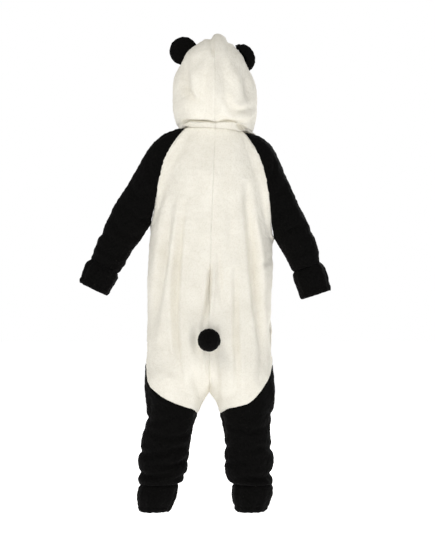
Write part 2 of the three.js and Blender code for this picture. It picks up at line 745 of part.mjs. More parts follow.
/** The raglan rows, from the underarm up to the neck seam. */
function raglanRows(side) {
  const field = (p) => suitField(side, p);
  const heights = raglanHeights(side);
  const rows = [];
  for (let r = 0; r <= RAGLAN_ROWS; r += 1) {
    const back = raglanPoint(side, heights, r, 1);
    const front = raglanPoint(side, heights, r, -1);
    let dense;
    if (r === RAGLAN_ROWS) {
      const angleOf = (p) => Math.atan2(p.y, Math.abs(p.x - midline(p.z)));
      dense = Array.from({ length: DENSE + 1 }, (_, i) => {
        const angle = THREE.MathUtils.lerp(angleOf(back), angleOf(front), i / DENSE);
        return trunkPoint(side, NECK_HEIGHT, angle, 1);
      });
    } else {
      const rise = fanRise[side](r / RAGLAN_ROWS);
      const rad = THREE.MathUtils.degToRad(rise);
      const out = new THREE.Vector3(SIDES[side] * Math.cos(rad), 0, Math.sin(rad));
      const inner = new THREE.Vector3((back.x + front.x) / 2, 0, (back.z + front.z) / 2);
      const top = leave(field, inner.clone().addScaledVector(out, 3), out);
      const centre = inner.clone().lerp(top, 0.5);
      const angleOf = (p) => {
        const offset = p.clone().sub(centre);
        return Math.atan2(Math.abs(offset.y), offset.dot(out));
      };
      const first = r === 0 ? Math.PI : angleOf(back);
      const last = r === 0 ? Math.PI : angleOf(front);
      dense = sleeveArc(side, suitField, centre, rise, first, -last);
    }
    dense[0] = back;
    dense[DENSE] = front;
    rows.push(evenly(dense, SLEEVE_COLUMNS));
  }
  return rows;
}

/** The closed rows, from the cuff up to just below the underarm. */
function tubeRows(side, from) {
  const axis = sleeveAxis(side);
  let start = 0;
  for (let i = 0; i < DENSE; i += 1) {
    const part = i / DENSE;
    if (axis.getPointAt(part).distanceTo(from) < axis.getPointAt(start).distanceTo(from)) {
      start = part;
    }
  }
  return Array.from({ length: SLEEVE_ROWS }, (_, i) => {
    const part = THREE.MathUtils.lerp(1, start, closing(i / SLEEVE_ROWS));
    const tangent = axis.getTangentAt(part);
    const rise = THREE.MathUtils.radToDeg(Math.atan2(Math.abs(tangent.x), Math.abs(tangent.z)));
    const dense = sleeveArc(side, sleeveField, axis.getPointAt(part), rise, Math.PI, -Math.PI);
    return evenly(dense, SLEEVE_COLUMNS);
  });
}

/** A whole raglan sleeve, sewn to itself under the arm. */
function sleevePanel(side) {
  const raglan = raglanRows(side);
  const centre = raglan[0][0].clone().lerp(raglan[0][SLEEVE_COLUMNS / 2], 0.5);
  const tube = tubeRows(side, centre);
  const rows = [...tube, ...raglan];
  const normals = rows.map((row, r) => {
    const field = r < tube.length ? sleeveField : suitField;
    return row.map((p) => outward((q) => field(side, q), p));
  });
  return grid(pullIn(rows, ["underarm", "bottom", "top"], SLEEVE_ROWS, SIDES[side]), normals);
}

/** A sleeve cuff, a band that stands a little proud of the gathered sleeve. */
function sleeveCuff(side) {
  const stations = CUFF[side];
  const wrist = sleeveAxis(side);
  const start = wrist.getPoint(1).addScaledVector(wrist.getTangent(1), SEAM_GAP);
  const hand = new THREE.Vector3(SIDES[side] * stations.at(-1).out, 0, stations.at(-1).height);
  const rows = stations.map(({ out, height, half, depth }, i) => {
    const centre = i === 0 ? start : new THREE.Vector3(SIDES[side] * out, 0, height);
    const down = i === 0 ? wrist.getTangent(1) : hand.clone().sub(start).normalize();
    const across = new THREE.Vector3(down.z, 0, -down.x);
    return Array.from({ length: CUFF_COLUMNS }, (_, c) => {
      const angle = (2 * Math.PI * c) / CUFF_COLUMNS;
      return centre.clone()
        .addScaledVector(across, half * Math.cos(angle))
        .addScaledVector(new THREE.Vector3(0, 1, 0), depth * Math.sin(angle));
    });
  });
  return ring(rows, CUFF_CLOTH);
}

// ---- Hood and ears ----

/** Leans the hood with the shoulders, and lifts the puff of cloth at the crown. */
function leanHood(p) {
  const settle = 1 - THREE.MathUtils.smoothstep(p.z, NECK_HEIGHT, NECK_HEIGHT + NECK_SETTLES);
  const reach = Math.hypot(p.x - CROWN_PUFF.x, p.y - CROWN_PUFF.y) / CROWN_PUFF.reach;
  const puff = p.z > HEAD_MIDDLE ? CROWN_PUFF.rise * Math.exp(-reach * reach) : 0;
  const lift = SHOULDER_LEAN * p.x + NECK_DIP * p.y * settle + puff;
  return new THREE.Vector3(p.x, p.y, p.z + lift);
}

/** The hood's bottom row follows the neck ring of the suit, a seam gap above it. */
function neckRow(side) {
  const points = Array.from({ length: DENSE + 1 }, (_, i) => {
    const angle = THREE.MathUtils.lerp(Math.PI / 2, -Math.PI / 2, i / DENSE);
    return trunkPoint(side, NECK_HEIGHT, angle, 1);
  });
  return evenly(points, HOOD_COLUMNS).map((p) => p.add(new THREE.Vector3(0, 0, SEAM_GAP)));
}

/** One side of the hood, from the crown seam to the edge round the face. */
function hoodPanel(side) {
  const head = new THREE.Vector3(0, 0, HEAD_MIDDLE);
  const rows = HOOD_ROWS.map(({ crown, edgeHeight, edgeOut }) => {
    const turn = THREE.MathUtils.degToRad(crown);
    const top = leave(hoodField, head, new THREE.Vector3(0, Math.cos(turn), Math.sin(turn)));
    const start = new THREE.Vector3(SIDES[side] * edgeOut, 0, edgeHeight);
    const edge = leave(hoodField, start, new THREE.Vector3(0, -1, 0));
    const centre = new THREE.Vector3(0, (top.y + edge.y) / 2, (top.z + edge.z) / 2);
    const back = top.clone().sub(centre).normalize();
    const out = new THREE.Vector3(SIDES[side], 0, 0);
    const offset = edge.clone().sub(centre);
    const last = Math.atan2(offset.dot(out), offset.dot(back));
    const dense = Array.from({ length: DENSE + 1 }, (_, i) => {
      const angle = (last * i) / DENSE;
      const way = back.clone().multiplyScalar(Math.cos(angle));
      way.x = SIDES[side] * Math.abs(Math.sin(angle));
      return leave(hoodField, centre, way);
    });
    return evenly(dense, HOOD_COLUMNS);
  });
  const normals = rows.map((row) => row.map((p, column) => {
    const normal = outward(hoodField, p);
    if (column === 0) normal.x = 0;
    return normal.normalize();
  }));
  const neck = neckRow(side);
  const level = neck.map((p, column) => {
    const normal = new THREE.Vector3(p.x, p.y, 0);
    if (column === 0 || column === HOOD_COLUMNS) normal.x = 0;
    return normal.normalize();
  });
  const leaning = [neck, ...rows.map((row) => row.map(leanHood))];
  return grid(pullIn(leaning, []), [level, ...normals]);
}

/** A stuffed ear: a flattened ball whose foot lies on the hood. */
function ear(side) {
  const size = EARS[side];
  const ball = new THREE.SphereGeometry(1, 16, 10);
  ball.scale(size.across, EAR_THICKNESS, size.proud);
  ball.rotateZ(THREE.MathUtils.degToRad(-SIDES[side] * size.turn));
  ball.rotateY(THREE.MathUtils.degToRad(SIDES[side] * (90 - size.lean)));
  ball.translate(SIDES[side] * size.out, -size.ahead, size.height);
  return seated(ball, (p) => hoodField(new THREE.Vector3(p.x, p.y, p.z - SHOULDER_LEAN * p.x)));
}

/** The tail: a stuffed ball whose foot lies on the seat. */
function tail() {
  const ball = new THREE.SphereGeometry(TAIL.radius, 16, 12);
  const middle = midline(TAIL.height);
  ball.translate(middle, backDepth(TAIL.height) + TAIL.radius - TAIL.sunk, TAIL.height);
  const side = (p) => (p.x > midline(p.z) ? "left" : "right");
  return seated(ball, (p) => suitField(side(p), p));
}

/** Pushes the foot of a stuffed piece out of the cloth it is sewn to. */
function seated(geometry, field) {
  geometry.deleteAttribute("normal");
  geometry.deleteAttribute("uv");
  const merged = mergeVertices(geometry, 1e-3);
  const position = merged.getAttribute("position");
  for (let i = 0; i < position.count; i += 1) {
    const p = new THREE.Vector3().fromBufferAttribute(position, i);
    for (let turn = 0; turn < 12 && field(p) < STUFFED_GAP; turn += 1) {
      p.addScaledVector(outward(field, p), STUFFED_GAP - field(p) + 0.02);
    }
    position.setXYZ(i, p.x, p.y, p.z);
  }
  return facingOut(merged);
}

// ---- Zip ----

/** A strip down the centre front, between two distances from the midline. */
function frontStrip(from, to, { sunk, thickness }) {
  const face = (height, out, depth) => {
    const side = out < 0 ? "right" : "left";
    const start = new THREE.Vector3(midline(height) + out, 0, height);
    const p = leave((q) => suitField(side, q), start, new THREE.Vector3(0, -1, 0));
    const normal = outward((q) => suitField(side, q), p);
    normal.x = 0;
    return p.addScaledVector(normal.normalize(), -depth);
  };
  const heights = Array.from(
    { length: ZIP_STEPS + 1 },
    (_, i) => THREE.MathUtils.lerp(ZIP.bottom, ZIP.top, i / ZIP_STEPS),
  );
  const points = heights.map((height) => [face(height, from, sunk), face(height, to, sunk)]);
  const normals = heights.map((height) => {
    const shallow = face(height, from, sunk);
    const deep = face(height, from, sunk + 1);
    const normal = shallow.sub(deep).normalize();
    return [normal, normal];
  });
  return wall(grid(points, normals), thickness);
}

/** The slider's place: its middle on the chain, and how far the front leans there. */
function sliderPlace() {
  const at = (height) => {
    const start = new THREE.Vector3(midline(height), 0, height);
    return leave((q) => suitField("left", q), start, new THREE.Vector3(0, -1, 0));
  };
  const middle = at(SLIDER.height);
  const below = at(SLIDER.height - PULL.length);
  const lean = Math.atan2(middle.y - below.y, middle.z - below.z);
  return { middle, lean };
}

/** A flat outline pushed to both sides of the plane it is drawn in. */
function slab(shape, width) {
  const geometry = new THREE.ExtrudeGeometry(shape, {
    depth: width,
    bevelEnabled: false,
    curveSegments: 10,
  });
  return geometry.translate(0, 0, -width / 2);
}

const wasm = await Module();
wasm.setup();

/** One closed solid from several that run into each other. */
function joined(geometries) {
  const solids = geometries.map((geometry) => {
    const bare = geometry.index ? geometry.toNonIndexed() : geometry.clone();
    bare.deleteAttribute("normal");
    bare.deleteAttribute("uv");
    const merged = mergeVertices(bare, 1e-4);
    return new wasm.Manifold(new wasm.Mesh({
      numProp: 3,
      vertProperties: merged.getAttribute("position").array,
      triVerts: new Uint32Array(merged.index.array),
    }));
  });
  const mesh = solids.reduce((sum, solid) => sum.add(solid)).getMesh();
  return new THREE.BufferGeometry()
    .setAttribute("position", new THREE.BufferAttribute(mesh.vertProperties, 3))
    .setIndex(new THREE.BufferAttribute(mesh.triVerts, 1));
}

/** Slider: a wedge-shaped body with an arch that the pull hangs from. Drawn facing +Z. */
function slider() {
  const { width, length, thickness } = SLIDER;
  const body = new THREE.Shape();
  body.moveTo(-width / 2, length / 2);
  body.lineTo(-width / 3, -length / 2);
  body.lineTo(width / 3, -length / 2);
  body.lineTo(width / 2, length / 2);
  body.closePath();
  const plate = slab(body, thickness).translate(0, 0, thickness / 2);
  const outer = ARCH.hole + ARCH.wire;
  const arch = new THREE.Shape();
  arch.moveTo(-outer, -outer - ARCH.foot);
  arch.lineTo(outer, -outer - ARCH.foot);
  arch.lineTo(outer, 0);
  arch.absarc(0, 0, outer, 0, Math.PI, false);
  arch.closePath();
  arch.holes.push(new THREE.Path().absarc(0, 0, ARCH.hole, 0, 2 * Math.PI, true));
  const bow = slab(arch, ARCH.width).rotateX(Math.PI / 2).rotateZ(Math.PI / 2);
  bow.translate(0, 0, thickness + outer);
  return joined([plate, bow]);
}

/** Pull: a flat tab whose top bar passes through the arch. Drawn hanging along -Y from its bar. */
function pull() {
  const { length, width, thickness, window: open, windowHeight } = PULL;
  const bar = thickness / 2;
  const outline = new THREE.Shape();
  outline.moveTo(-width / 2, bar);
  outline.lineTo(-width / 2 + 1, -length + width / 3);
  outline.absarc(0, -length + width / 3, width / 2 - 1, Math.PI, 2 * Math.PI, false);
  outline.lineTo(width / 2, bar);
  outline.closePath();
  const gap = new THREE.Path();
  gap.moveTo(-open / 2, -bar);
  gap.lineTo(open / 2, -bar);
  gap.lineTo(open / 2, -bar - windowHeight);
  gap.lineTo(-open / 2, -bar - windowHeight);
  gap.closePath();
  outline.holes.push(gap);
  return slab(outline, thickness);
}

// ---- Putting the suit together ----
for (const side of ["left", "right"]) {
  piece(`hood_${side}`, wall(hoodPanel(side), CLOTH), "cream");
  piece(`ear_${side}`, ear(side), "black");
  piece(`back_${side}`, wall(bodyPanel(side, 1), CLOTH), "cream");
  piece(`front_${side}`, wall(bodyPanel(side, -1), CLOTH), "cream");
  piece(`sleeve_${side}`, wall(sleevePanel(side), CLOTH), "black");
  piece(`cuff_${side}`, sleeveCuff(side), "black");
  piece(`leg_back_${side}`, wall(legPanel(side, 1), CLOTH), "black");
  piece(`leg_front_${side}`, wall(legPanel(side, -1), CLOTH), "black");
  piece(`ankle_cuff_${side}`, ankleCuff(side), "black");
}
piece("tail", tail(), "black");

const chainEdge = ZIP.chain / 2;
const tapeFrom = chainEdge + SEAM_GAP;
const tapeTo = tapeFrom + ZIP.tape;
piece("zip_tape_left", frontStrip(tapeFrom, tapeTo, TAPE), "tape");
piece("zip_tape_right", frontStrip(-tapeTo, -tapeFrom, TAPE), "tape");
piece("zip_chain", frontStrip(-chainEdge, chainEdge, CHAIN), "chain");

const place = sliderPlace();
const fastener = new THREE.Group();
fastener.position.copy(place.middle);
fastener.rotation.set(Math.PI / 2 - place.lean, 0, 0);
group.add(fastener);
const sliderMesh = piece("zip_slider", slider(), "metal");
sliderMesh.position.set(0, 0, SEAM_GAP);
const pullMesh = piece("zip_pull", pull(), "metal");
pullMesh.position.set(0, 0, SEAM_GAP + SLIDER.thickness + ARCH.hole + ARCH.wire);
fastener.add(sliderMesh, pullMesh);

group.position.z = -NECK_HEIGHT;

export default group;
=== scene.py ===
"""The finish and stage of a child's panda onesie: plush cloth, stuffed ears and tail, front zip.

Metres, +Z up. The front of the suit faces -Y, its left side is +X, and the origin is at the neck.
Creases are drawn in millimetres, as a maker would mark them on the worn suit.
"""

import json
import math
from collections import namedtuple
from itertools import combinations

import bmesh
import bpy
import numpy as np
from bpy.props import FloatProperty, FloatVectorProperty, PointerProperty
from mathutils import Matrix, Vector, noise
from mathutils.bvhtree import BVHTree

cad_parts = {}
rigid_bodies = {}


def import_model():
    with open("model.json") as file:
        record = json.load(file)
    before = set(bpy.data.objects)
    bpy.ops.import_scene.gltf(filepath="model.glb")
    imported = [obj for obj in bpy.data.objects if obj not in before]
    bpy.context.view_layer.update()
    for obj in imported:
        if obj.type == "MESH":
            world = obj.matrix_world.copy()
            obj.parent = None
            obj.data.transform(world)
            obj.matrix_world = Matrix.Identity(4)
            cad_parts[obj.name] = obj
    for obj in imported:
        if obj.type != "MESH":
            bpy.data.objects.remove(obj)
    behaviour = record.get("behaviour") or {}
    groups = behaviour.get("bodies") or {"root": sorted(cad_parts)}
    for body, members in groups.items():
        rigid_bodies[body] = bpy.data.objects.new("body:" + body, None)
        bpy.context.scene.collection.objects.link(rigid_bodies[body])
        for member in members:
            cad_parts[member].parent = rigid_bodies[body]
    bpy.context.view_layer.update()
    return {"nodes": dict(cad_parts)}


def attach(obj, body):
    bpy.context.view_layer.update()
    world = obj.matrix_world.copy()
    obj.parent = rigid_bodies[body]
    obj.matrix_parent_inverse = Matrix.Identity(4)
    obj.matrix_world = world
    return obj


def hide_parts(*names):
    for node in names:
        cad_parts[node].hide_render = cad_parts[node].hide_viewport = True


bl_info = {
    "name": "Panda Onesie",
    "version": (1, 0, 0),
    "blender": (4, 5, 0),
    "location": "View3D > Sidebar > Onesie",
    "description": "Builds the plush cloth, the stuffed pieces and the zip of a panda onesie",
    "category": "Object",
}

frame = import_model()

SUIT = "suit"
MM = 0.001
SIDES = {"left": 1, "right": -1}
SAME_LENGTH = 0.02 * MM
TAKE_UP = 1.05  # the folds and the pile's lumps take up a twentieth of the cut

WALL = 3.0 * MM  # plush
CUFF_WALL = 4.0 * MM  # turned and doubled plush
LAP = 0.8 * MM  # of one pile over the next at a seam
NECK_LAP = 1.6 * MM
SEAM_SUNK = 0.3  # how far a sewn border goes down, as a share of the lap
SEAM_SWELL = 0.3  # height of the soft ridge beside a seam, as a share of the seam's depth
STILL_FROM, STILL_TO = 4 * MM, 26 * MM  # from a calm border, where the creases fade in
CALM_TUFTS = 0.35  # share of the tufts' height that is left along a calm border
SLACK = 75 * MM  # size of the cloth's broad lumps
LESSER_SLACK = 30 * MM
LESSER_SLACK_SHARE = 0.35  # of the height of the broad ones
TUFT = 9.5 * MM  # size of the lumps of the pile
LESSER_TUFT = 5.5 * MM
LESSER_TUFT_SHARE = 0.6
HEM_WIDTH = 2.6  # of the roll at its edge, in walls
HEM_ROLL = 0.5  # how far the roll stands out, in walls
HEM_PINCH = 0.38  # of each face at the very edge, in walls
HEM_STITCHES = 17 * MM  # from the edge
STITCHES_WIDTH = 2.2 * MM
HEM_DRAWN_IN = 0.9 * MM  # by its stitches
SLEEVE_RADIUS = 52  # mm, turns an angle round a sleeve into a distance
LEG_RADIUS = 72
CUFF_RADIUS = 44

TAPE_WALL = 1.2 * MM
TAPE_GRAIN = 1.2 * MM
TAPE_CORD = 0.3 * MM  # height of the corded edge
CORD_FROM = 2.6 * MM  # from the middle of the tape
UNDER_TEETH = 3.1 * MM  # how far the tape reaches in behind the teeth
TAPE_SUNK = 1.7 * MM  # there
TAPE_END = 9 * MM  # below the last tooth
CHAIN_WALL = 2.4 * MM
TEETH_PITCH = 1.9 * MM
TOOTH = (3.3 * MM, 1.25 * MM, 2.2 * MM)  # out from the middle, up and forward
TEETH_SUNK = 1.7 * MM  # the roots of the teeth, behind the face of the chain
TEETH_CROSS = 0.75 * MM  # how far a tooth starts on the other side of the middle

EAR_PUFF = 6.5 * MM
TAIL_PUFF = 4 * MM
PRESSURE = 4.0  # of the stuffing
STUFFED_TUFT = 10 * MM
STUFFED_PILE = 1.3  # height of its lumps, as a share of the cream pile's
EAR_SEAM = 1.8 * MM  # how far the seam round the rim is drawn in
EAR_SEAM_WIDTH = 2.6 * MM
EAR_HOLLOW = 3.2 * MM  # depth of the hollow in each face
HOLLOW_SPREAD = 0.42  # of the ear's half width
TAIL_DIMPLE = 1.6 * MM
DIMPLE_WIDTH = 7 * MM
CLOSED_GAP = 3 * MM  # half the widest gap that stuffing fills
FOOT_REACH = 9 * MM  # how near the hood the plush of an ear is pulled down to it

# Specular level, sheen and the sheen's tint of each plush.
PLUSH_SHINE = {
    "cream": (0.15, 0.12, (1, 0.98, 0.93)),
    "black": (0.05, 0.02, (0.75, 0.72, 0.74)),
}

# A crease follows a path over the cloth. It is drawn in by its depth, or stands up as a ridge
# where the depth is negative. Width is from its middle to where it has mostly faded. A soft
# shoulder stands up a little on both sides of a trough.
Crease = namedtuple("Crease", "path width depth")

SHOULDER = 0.28  # height, as a share of the trough's depth
SHOULDER_PLACE = 1.9  # from the middle, in widths
SHOULDER_WIDTH = 0.9

# Cloth read from a CAD wall: its rows, finer points, and each point's row and column number.
Cloth = namedtuple("Cloth", "rows grid row_numbers column_numbers closed")

# Across the body (mm from the middle of the neck) and up (mm from the neck), seen from behind.
BACK_CREASES = [
    Crease([(119, -196), (130, -292), (138, -355), (148, -425), (160, -484), (166, -540)],
           11, 11.5),
    Crease([(84, -195), (98, -328), (106, -452), (104, -536), (97, -608), (90, -690)], 8, 11.5),
    Crease([(104, -250), (118, -340), (127, -430), (131, -500)], 11, -4.9),
    Crease([(62, -320), (72, -420), (76, -520), (70, -600)], 15, -4.9),
    Crease([(13, -360), (18, -448), (27, -505), (32, -528)], 6, 10.7),
    Crease([(2, -366), (6, -440), (12, -490)], 7, -5.8),
    Crease([(50, -520), (52, -560), (44, -604)], 9, 6.6),
    Crease([(-9, -328), (-13, -392), (-17, -460)], 6, 4.9),
    Crease([(-54, -370), (-56, -470), (-56, -552), (-59, -619), (-59, -704)], 7, 9.9),
    Crease([(-84, -148), (-91, -238), (-100, -328), (-106, -414), (-111, -468), (-121, -536),
            (-127, -576), (-118, -664)], 10, 14.8),
    Crease([(-112, -250), (-126, -350), (-134, -440)], 13, -5.8),
    Crease([(-74, -300), (-82, -400), (-88, -500), (-94, -590)], 12, -4.9),
    Crease([(-40, -190), (-42, -250), (-40, -320)], 10, 4.1),
    Crease([(-2, -515), (-2, -616), (-6, -660), (-7, -722)], 7, 5.8),
    Crease([(27, -585), (29, -625), (26, -664)], 6, -6.6),
    Crease([(20, -640), (20, -700)], 7, -4.9),
    Crease([(58, -640), (46, -680), (38, -722)], 9, 4.9),
    Crease([(-30, -600), (-34, -660), (-30, -716)], 10, -4.1),
    Crease([(136, -560), (120, -618), (108, -664)], 10, 4.9),
    Crease([(-146, -500), (-152, -560), (-150, -600)], 9, 5.8),
    Crease([(52, -92), (44, -150), (48, -214)], 16, 2.6),
    Crease([(-18, -70), (-24, -120), (-20, -170)], 14, 2),
    Crease([(8, -96), (8, -140)], 16, -3.6),
    Crease([(150, -300), (140, -322), (124, -340)], 9, 4.3),
    Crease([(-148, -330), (-138, -350), (-122, -362)], 9, 4.3),
]
# The same for the front, which hangs in like folds on both sides of the zip.
FRONT_CREASES = [
    Crease([(62, -210), (70, -330), (78, -440), (74, -540), (62, -640)], 12, 10.7),
    Crease([(104, -190), (114, -300), (124, -410), (132, -520), (124, -610)], 11, 13.2),
    Crease([(34, -420), (38, -500), (42, -590), (36, -690)], 8, 7.4),
    Crease([(86, -260), (96, -360), (104, -470), (102, -560)], 14, -4.9),
    Crease([(146, -320), (150, -400), (152, -480)], 10, 6.6),
    Crease([(-52, -240), (-58, -350), (-64, -460), (-62, -570)], 10, 9.1),
    Crease([(-96, -170), (-104, -280), (-112, -390), (-124, -500), (-128, -590)], 12, 13.2),
    Crease([(-30, -450), (-30, -540), (-24, -640), (-16, -700)], 8, 7.4),
    Crease([(-78, -300), (-88, -400), (-94, -500)], 13, -4.9),
    Crease([(-142, -340), (-148, -430), (-146, -520)], 10, 7.4),
    Crease([(132, -250), (112, -262), (88, -258)], 10, 5.8),
    Crease([(-130, -270), (-110, -276), (-84, -268)], 10, 5.8),
    Crease([(64, -50), (52, -90), (54, -130)], 12, 4.1),
    Crease([(-60, -56), (-50, -96), (-46, -140)], 12, 4.1),
    Crease([(30, -690), (54, -676), (82, -662)], 9, 5.8),
    Crease([(-8, -694), (-36, -678), (-66, -668)], 9, 5.8),
]

# Round the leg (degrees: 0 on the outer side, 90 behind, 180 inside, 270 in front) and up.
LEG_CREASES = {
    "left": [
        Crease([(-62, -760), (0, -770), (52, -779), (104, -764)], 9, 5.6),
        Crease([(-80, -845), (-14, -857), (58, -867), (122, -851), (156, -846)], 9, 7.1),
        Crease([(-56, -910), (0, -918), (66, -926), (128, -914)], 7, 6.6),
        Crease([(-30, -813), (10, -817), (46, -812)], 16, -3.6),
        Crease([(48, -806), (98, -822), (146, -808)], 8, 4.6),
        Crease([(66, -888), (112, -897), (158, -884), (196, -892)], 8, 5.6),
        Crease([(120, -936), (170, -926), (222, -934)], 7, 5.1),
        Crease([(-24, -886), (14, -891), (44, -886)], 12, -3.1),
        Crease([(96, -700), (112, -742), (118, -782)], 12, 3.6),
        Crease([(34, -690), (44, -732), (40, -760)], 13, 3.1),
        Crease([(150, -735), (176, -790), (184, -850)], 11, 3.1),
        Crease([(200, -772), (252, -786), (304, -774)], 9, 5.1),
        Crease([(216, -836), (268, -852), (318, -838)], 9, 5.6),
        Crease([(226, -902), (276, -912), (330, -898)], 8, 5.6),
        Crease([(262, -700), (272, -742)], 13, 4.1),
    ],
    "right": [
        Crease([(-66, -914), (0, -921), (62, -931), (112, -918)], 8, 7.1),
        Crease([(-48, -846), (0, -855), (58, -849), (102, -862)], 8, 4.6),
        Crease([(-26, -886), (8, -891), (42, -887)], 14, -3.6),
        Crease([(92, -880), (144, -894), (204, -884)], 8, 5.6),
        Crease([(34, -790), (88, -802), (144, -786)], 9, 4.1),
        Crease([(-52, -758), (-6, -764), (40, -757)], 8, 3.6),
        Crease([(52, -940), (100, -932), (150, -938)], 7, 4.6),
        Crease([(136, -840), (176, -850), (214, -842)], 8, 5.1),
        Crease([(86, -704), (78, -742), (88, -776)], 12, 4.1),
        Crease([(28, -672), (30, -712), (22, -738)], 11, -4.1),
        Crease([(140, -730), (158, -780), (164, -826)], 11, 3.1),
        Crease([(208, -780), (256, -768), (306, -780)], 9, 5.1),
        Crease([(214, -850), (264, -838), (316, -852)], 9, 5.6),
        Crease([(220, -908), (272, -898), (322, -910)], 8, 5.1),
        Crease([(250, -694), (262, -738)], 13, 4.1),
    ],
}

# Round the sleeve (degrees: 0 on the outer side, 90 behind, 180 under the arm) and up from its
# cuff.
SLEEVE_CREASES = {
    "left": [
        Crease([(-130, 15), (-50, 11), (10, 13), (84, 9), (140, 16)], 8, 2),
        Crease([(36, 44), (88, 36), (138, 50)], 8, 4.1),
        Crease([(56, 118), (104, 100), (156, 122)], 9, 4.6),
        Crease([(70, 176), (118, 158), (168, 182)], 9, 5.1),
        Crease([(40, 236), (96, 216), (150, 246), (176, 282)], 10, 4.6),
        Crease([(96, 322), (124, 284), (160, 262)], 10, 4.6),
        Crease([(20, 150), (64, 140), (90, 146)], 11, -2.6),
        Crease([(-168, 132), (-118, 110), (-62, 124)], 9, 5.1),
        Crease([(-172, 196), (-120, 172), (-66, 184)], 9, 5.6),
        Crease([(-170, 262), (-124, 238), (-74, 252)], 10, 5.1),
        Crease([(-120, 56), (-80, 46), (-34, 54)], 8, 4.1),
        Crease([(-110, 330), (-96, 290), (-104, 262)], 11, 4.1),
        Crease([(44, 372), (60, 410), (50, 440)], 13, 2.6),
        Crease([(-30, 82), (12, 76), (50, 84)], 9, 2.6),
    ],
    "right": [
        Crease([(-134, 12), (-56, 16), (6, 11), (76, 15), (146, 10)], 8, 2),
        Crease([(28, 50), (80, 40), (130, 46)], 8, 4.1),
        Crease([(44, 104), (100, 112), (148, 96)], 9, 4.6),
        Crease([(62, 162), (112, 170), (160, 150)], 9, 5.1),
        Crease([(52, 228), (104, 226), (156, 206)], 10, 4.6),
        Crease([(90, 306), (122, 278), (166, 268)], 10, 4.6),
        Crease([(14, 190), (60, 196), (92, 190)], 11, -2.6),
        Crease([(-166, 110), (-112, 124), (-60, 108)], 9, 5.1),
        Crease([(-170, 178), (-116, 188), (-64, 170)], 9, 5.6),
        Crease([(-168, 240), (-118, 252), (-70, 236)], 10, 5.1),
        Crease([(-116, 48), (-76, 56), (-30, 46)], 8, 4.1),
        Crease([(-104, 320), (-98, 282), (-112, 258)], 11, 4.1),
        Crease([(38, 356), (56, 396), (44, 424)], 13, 2.6),
        Crease([(-26, 74), (16, 80), (54, 72)], 9, 2.6),
    ],
}

# Across and up. These run through the hood from its back towards its face.
HOOD_CREASES = [
    Crease([(1, 27), (1, 82), (1, 141), (2, 196)], 15, -6.6),
    Crease([(1, 29), (1, 82), (1, 141), (1, 180)], 4.5, -1.8),
    Crease([(26, 52), (30, 101), (26, 150), (18, 190)], 14, 4.5),
    Crease([(-24, 52), (-28, 101), (-26, 150), (-20, 186)], 14, 4.5),
    Crease([(11, 212), (13, 240), (14, 288)], 7, 4.9),
    Crease([(-33, 206), (-36, 230), (-36, 276)], 6, 4.3),
    Crease([(-11, 214), (-11, 250), (-10, 304)], 14, -5.6),
    Crease([(6, 229), (5, 211), (3, 194)], 4, 4.5),
    Crease([(84, 186), (80, 141), (74, 100)], 14, 13.2),
    Crease([(85, 119), (65, 92), (43, 66)], 8, 8.7),
    Crease([(87, 84), (77, 66), (61, 48)], 14, -6.6),
    Crease([(59, 166), (55, 131), (49, 97)], 13, -4.5),
    Crease([(-80, 180), (-88, 121), (-92, 76)], 14, 13.2),
    Crease([(-33, 84), (-41, 60), (-61, 50), (-83, 54), (-102, 64)], 8, 7.8),
    Crease([(-49, 39), (-77, 37), (-98, 44)], 10, -6.6),
    Crease([(93, 46), (61, 40), (30, 39), (0, 36), (-30, 38), (-51, 38)], 9, -5.4),
    Crease([(94, 18), (82, 27), (65, 33), (41, 30), (20, 30), (0, 26)], 5, 17.3),
    Crease([(4, 27), (-20, 30), (-45, 30), (-81, 31)], 5, 10.7),
    Crease([(-61, 18), (-73, 7), (-94, -3)], 6, 14.8),
    Crease([(-69, 27), (-91, 19), (-102, 9)], 9, -4.5),
    Crease([(69, 11), (87, 7), (100, 3)], 6, 5.4),
    Crease([(33, 204), (45, 182), (53, 154)], 11, 4.5),
    Crease([(-49, 204), (-57, 176), (-61, 145)], 12, 4.5),
    Crease([(45, 123), (35, 95), (39, 76)], 12, 2.8),
    Crease([(-43, 141), (-49, 111), (-41, 92)], 13, 2.8),
]
# Gathers of a cuff: degrees round it, width and depth. They run from end to end and lean a
# little. Places up a cuff are hundredths of its length.
CUFF_GATHERS = [
    (-158, 6, 2.3), (-124, 7, 1.3), (-87, 6, 2.5), (-58, 8, 1.65), (-22, 6, 2), (9, 7, 1.3),
    (38, 6, 2.5), (71, 8, 1.5), (96, 6, 2.1), (131, 7, 1.65), (162, 6, 1.3),
]
GATHER_ENDS = (-20, 120)
GATHER_LEAN = 4  # degrees
GATHERS_TURNED = 23  # degrees from one cuff to the next, so that no two are alike
CUFF_NECK = Crease([(-260, 104), (260, 104)], 24, 4)  # where the cuff is drawn in to its sleeve

# The fold that the hood makes over its neck, from right to left, and how far it hangs.
HOOD_LIP = [
    (-104, 4), (-92, 12), (-70, 25), (-40, 31), (0, 28), (36, 31), (64, 34), (80, 24), (96, 6),
]
LIP_HEIGHT = 11  # of the cloth that the fold takes up
SAG = 7 * MM


# ---- Sizes and colours that a user would change ----


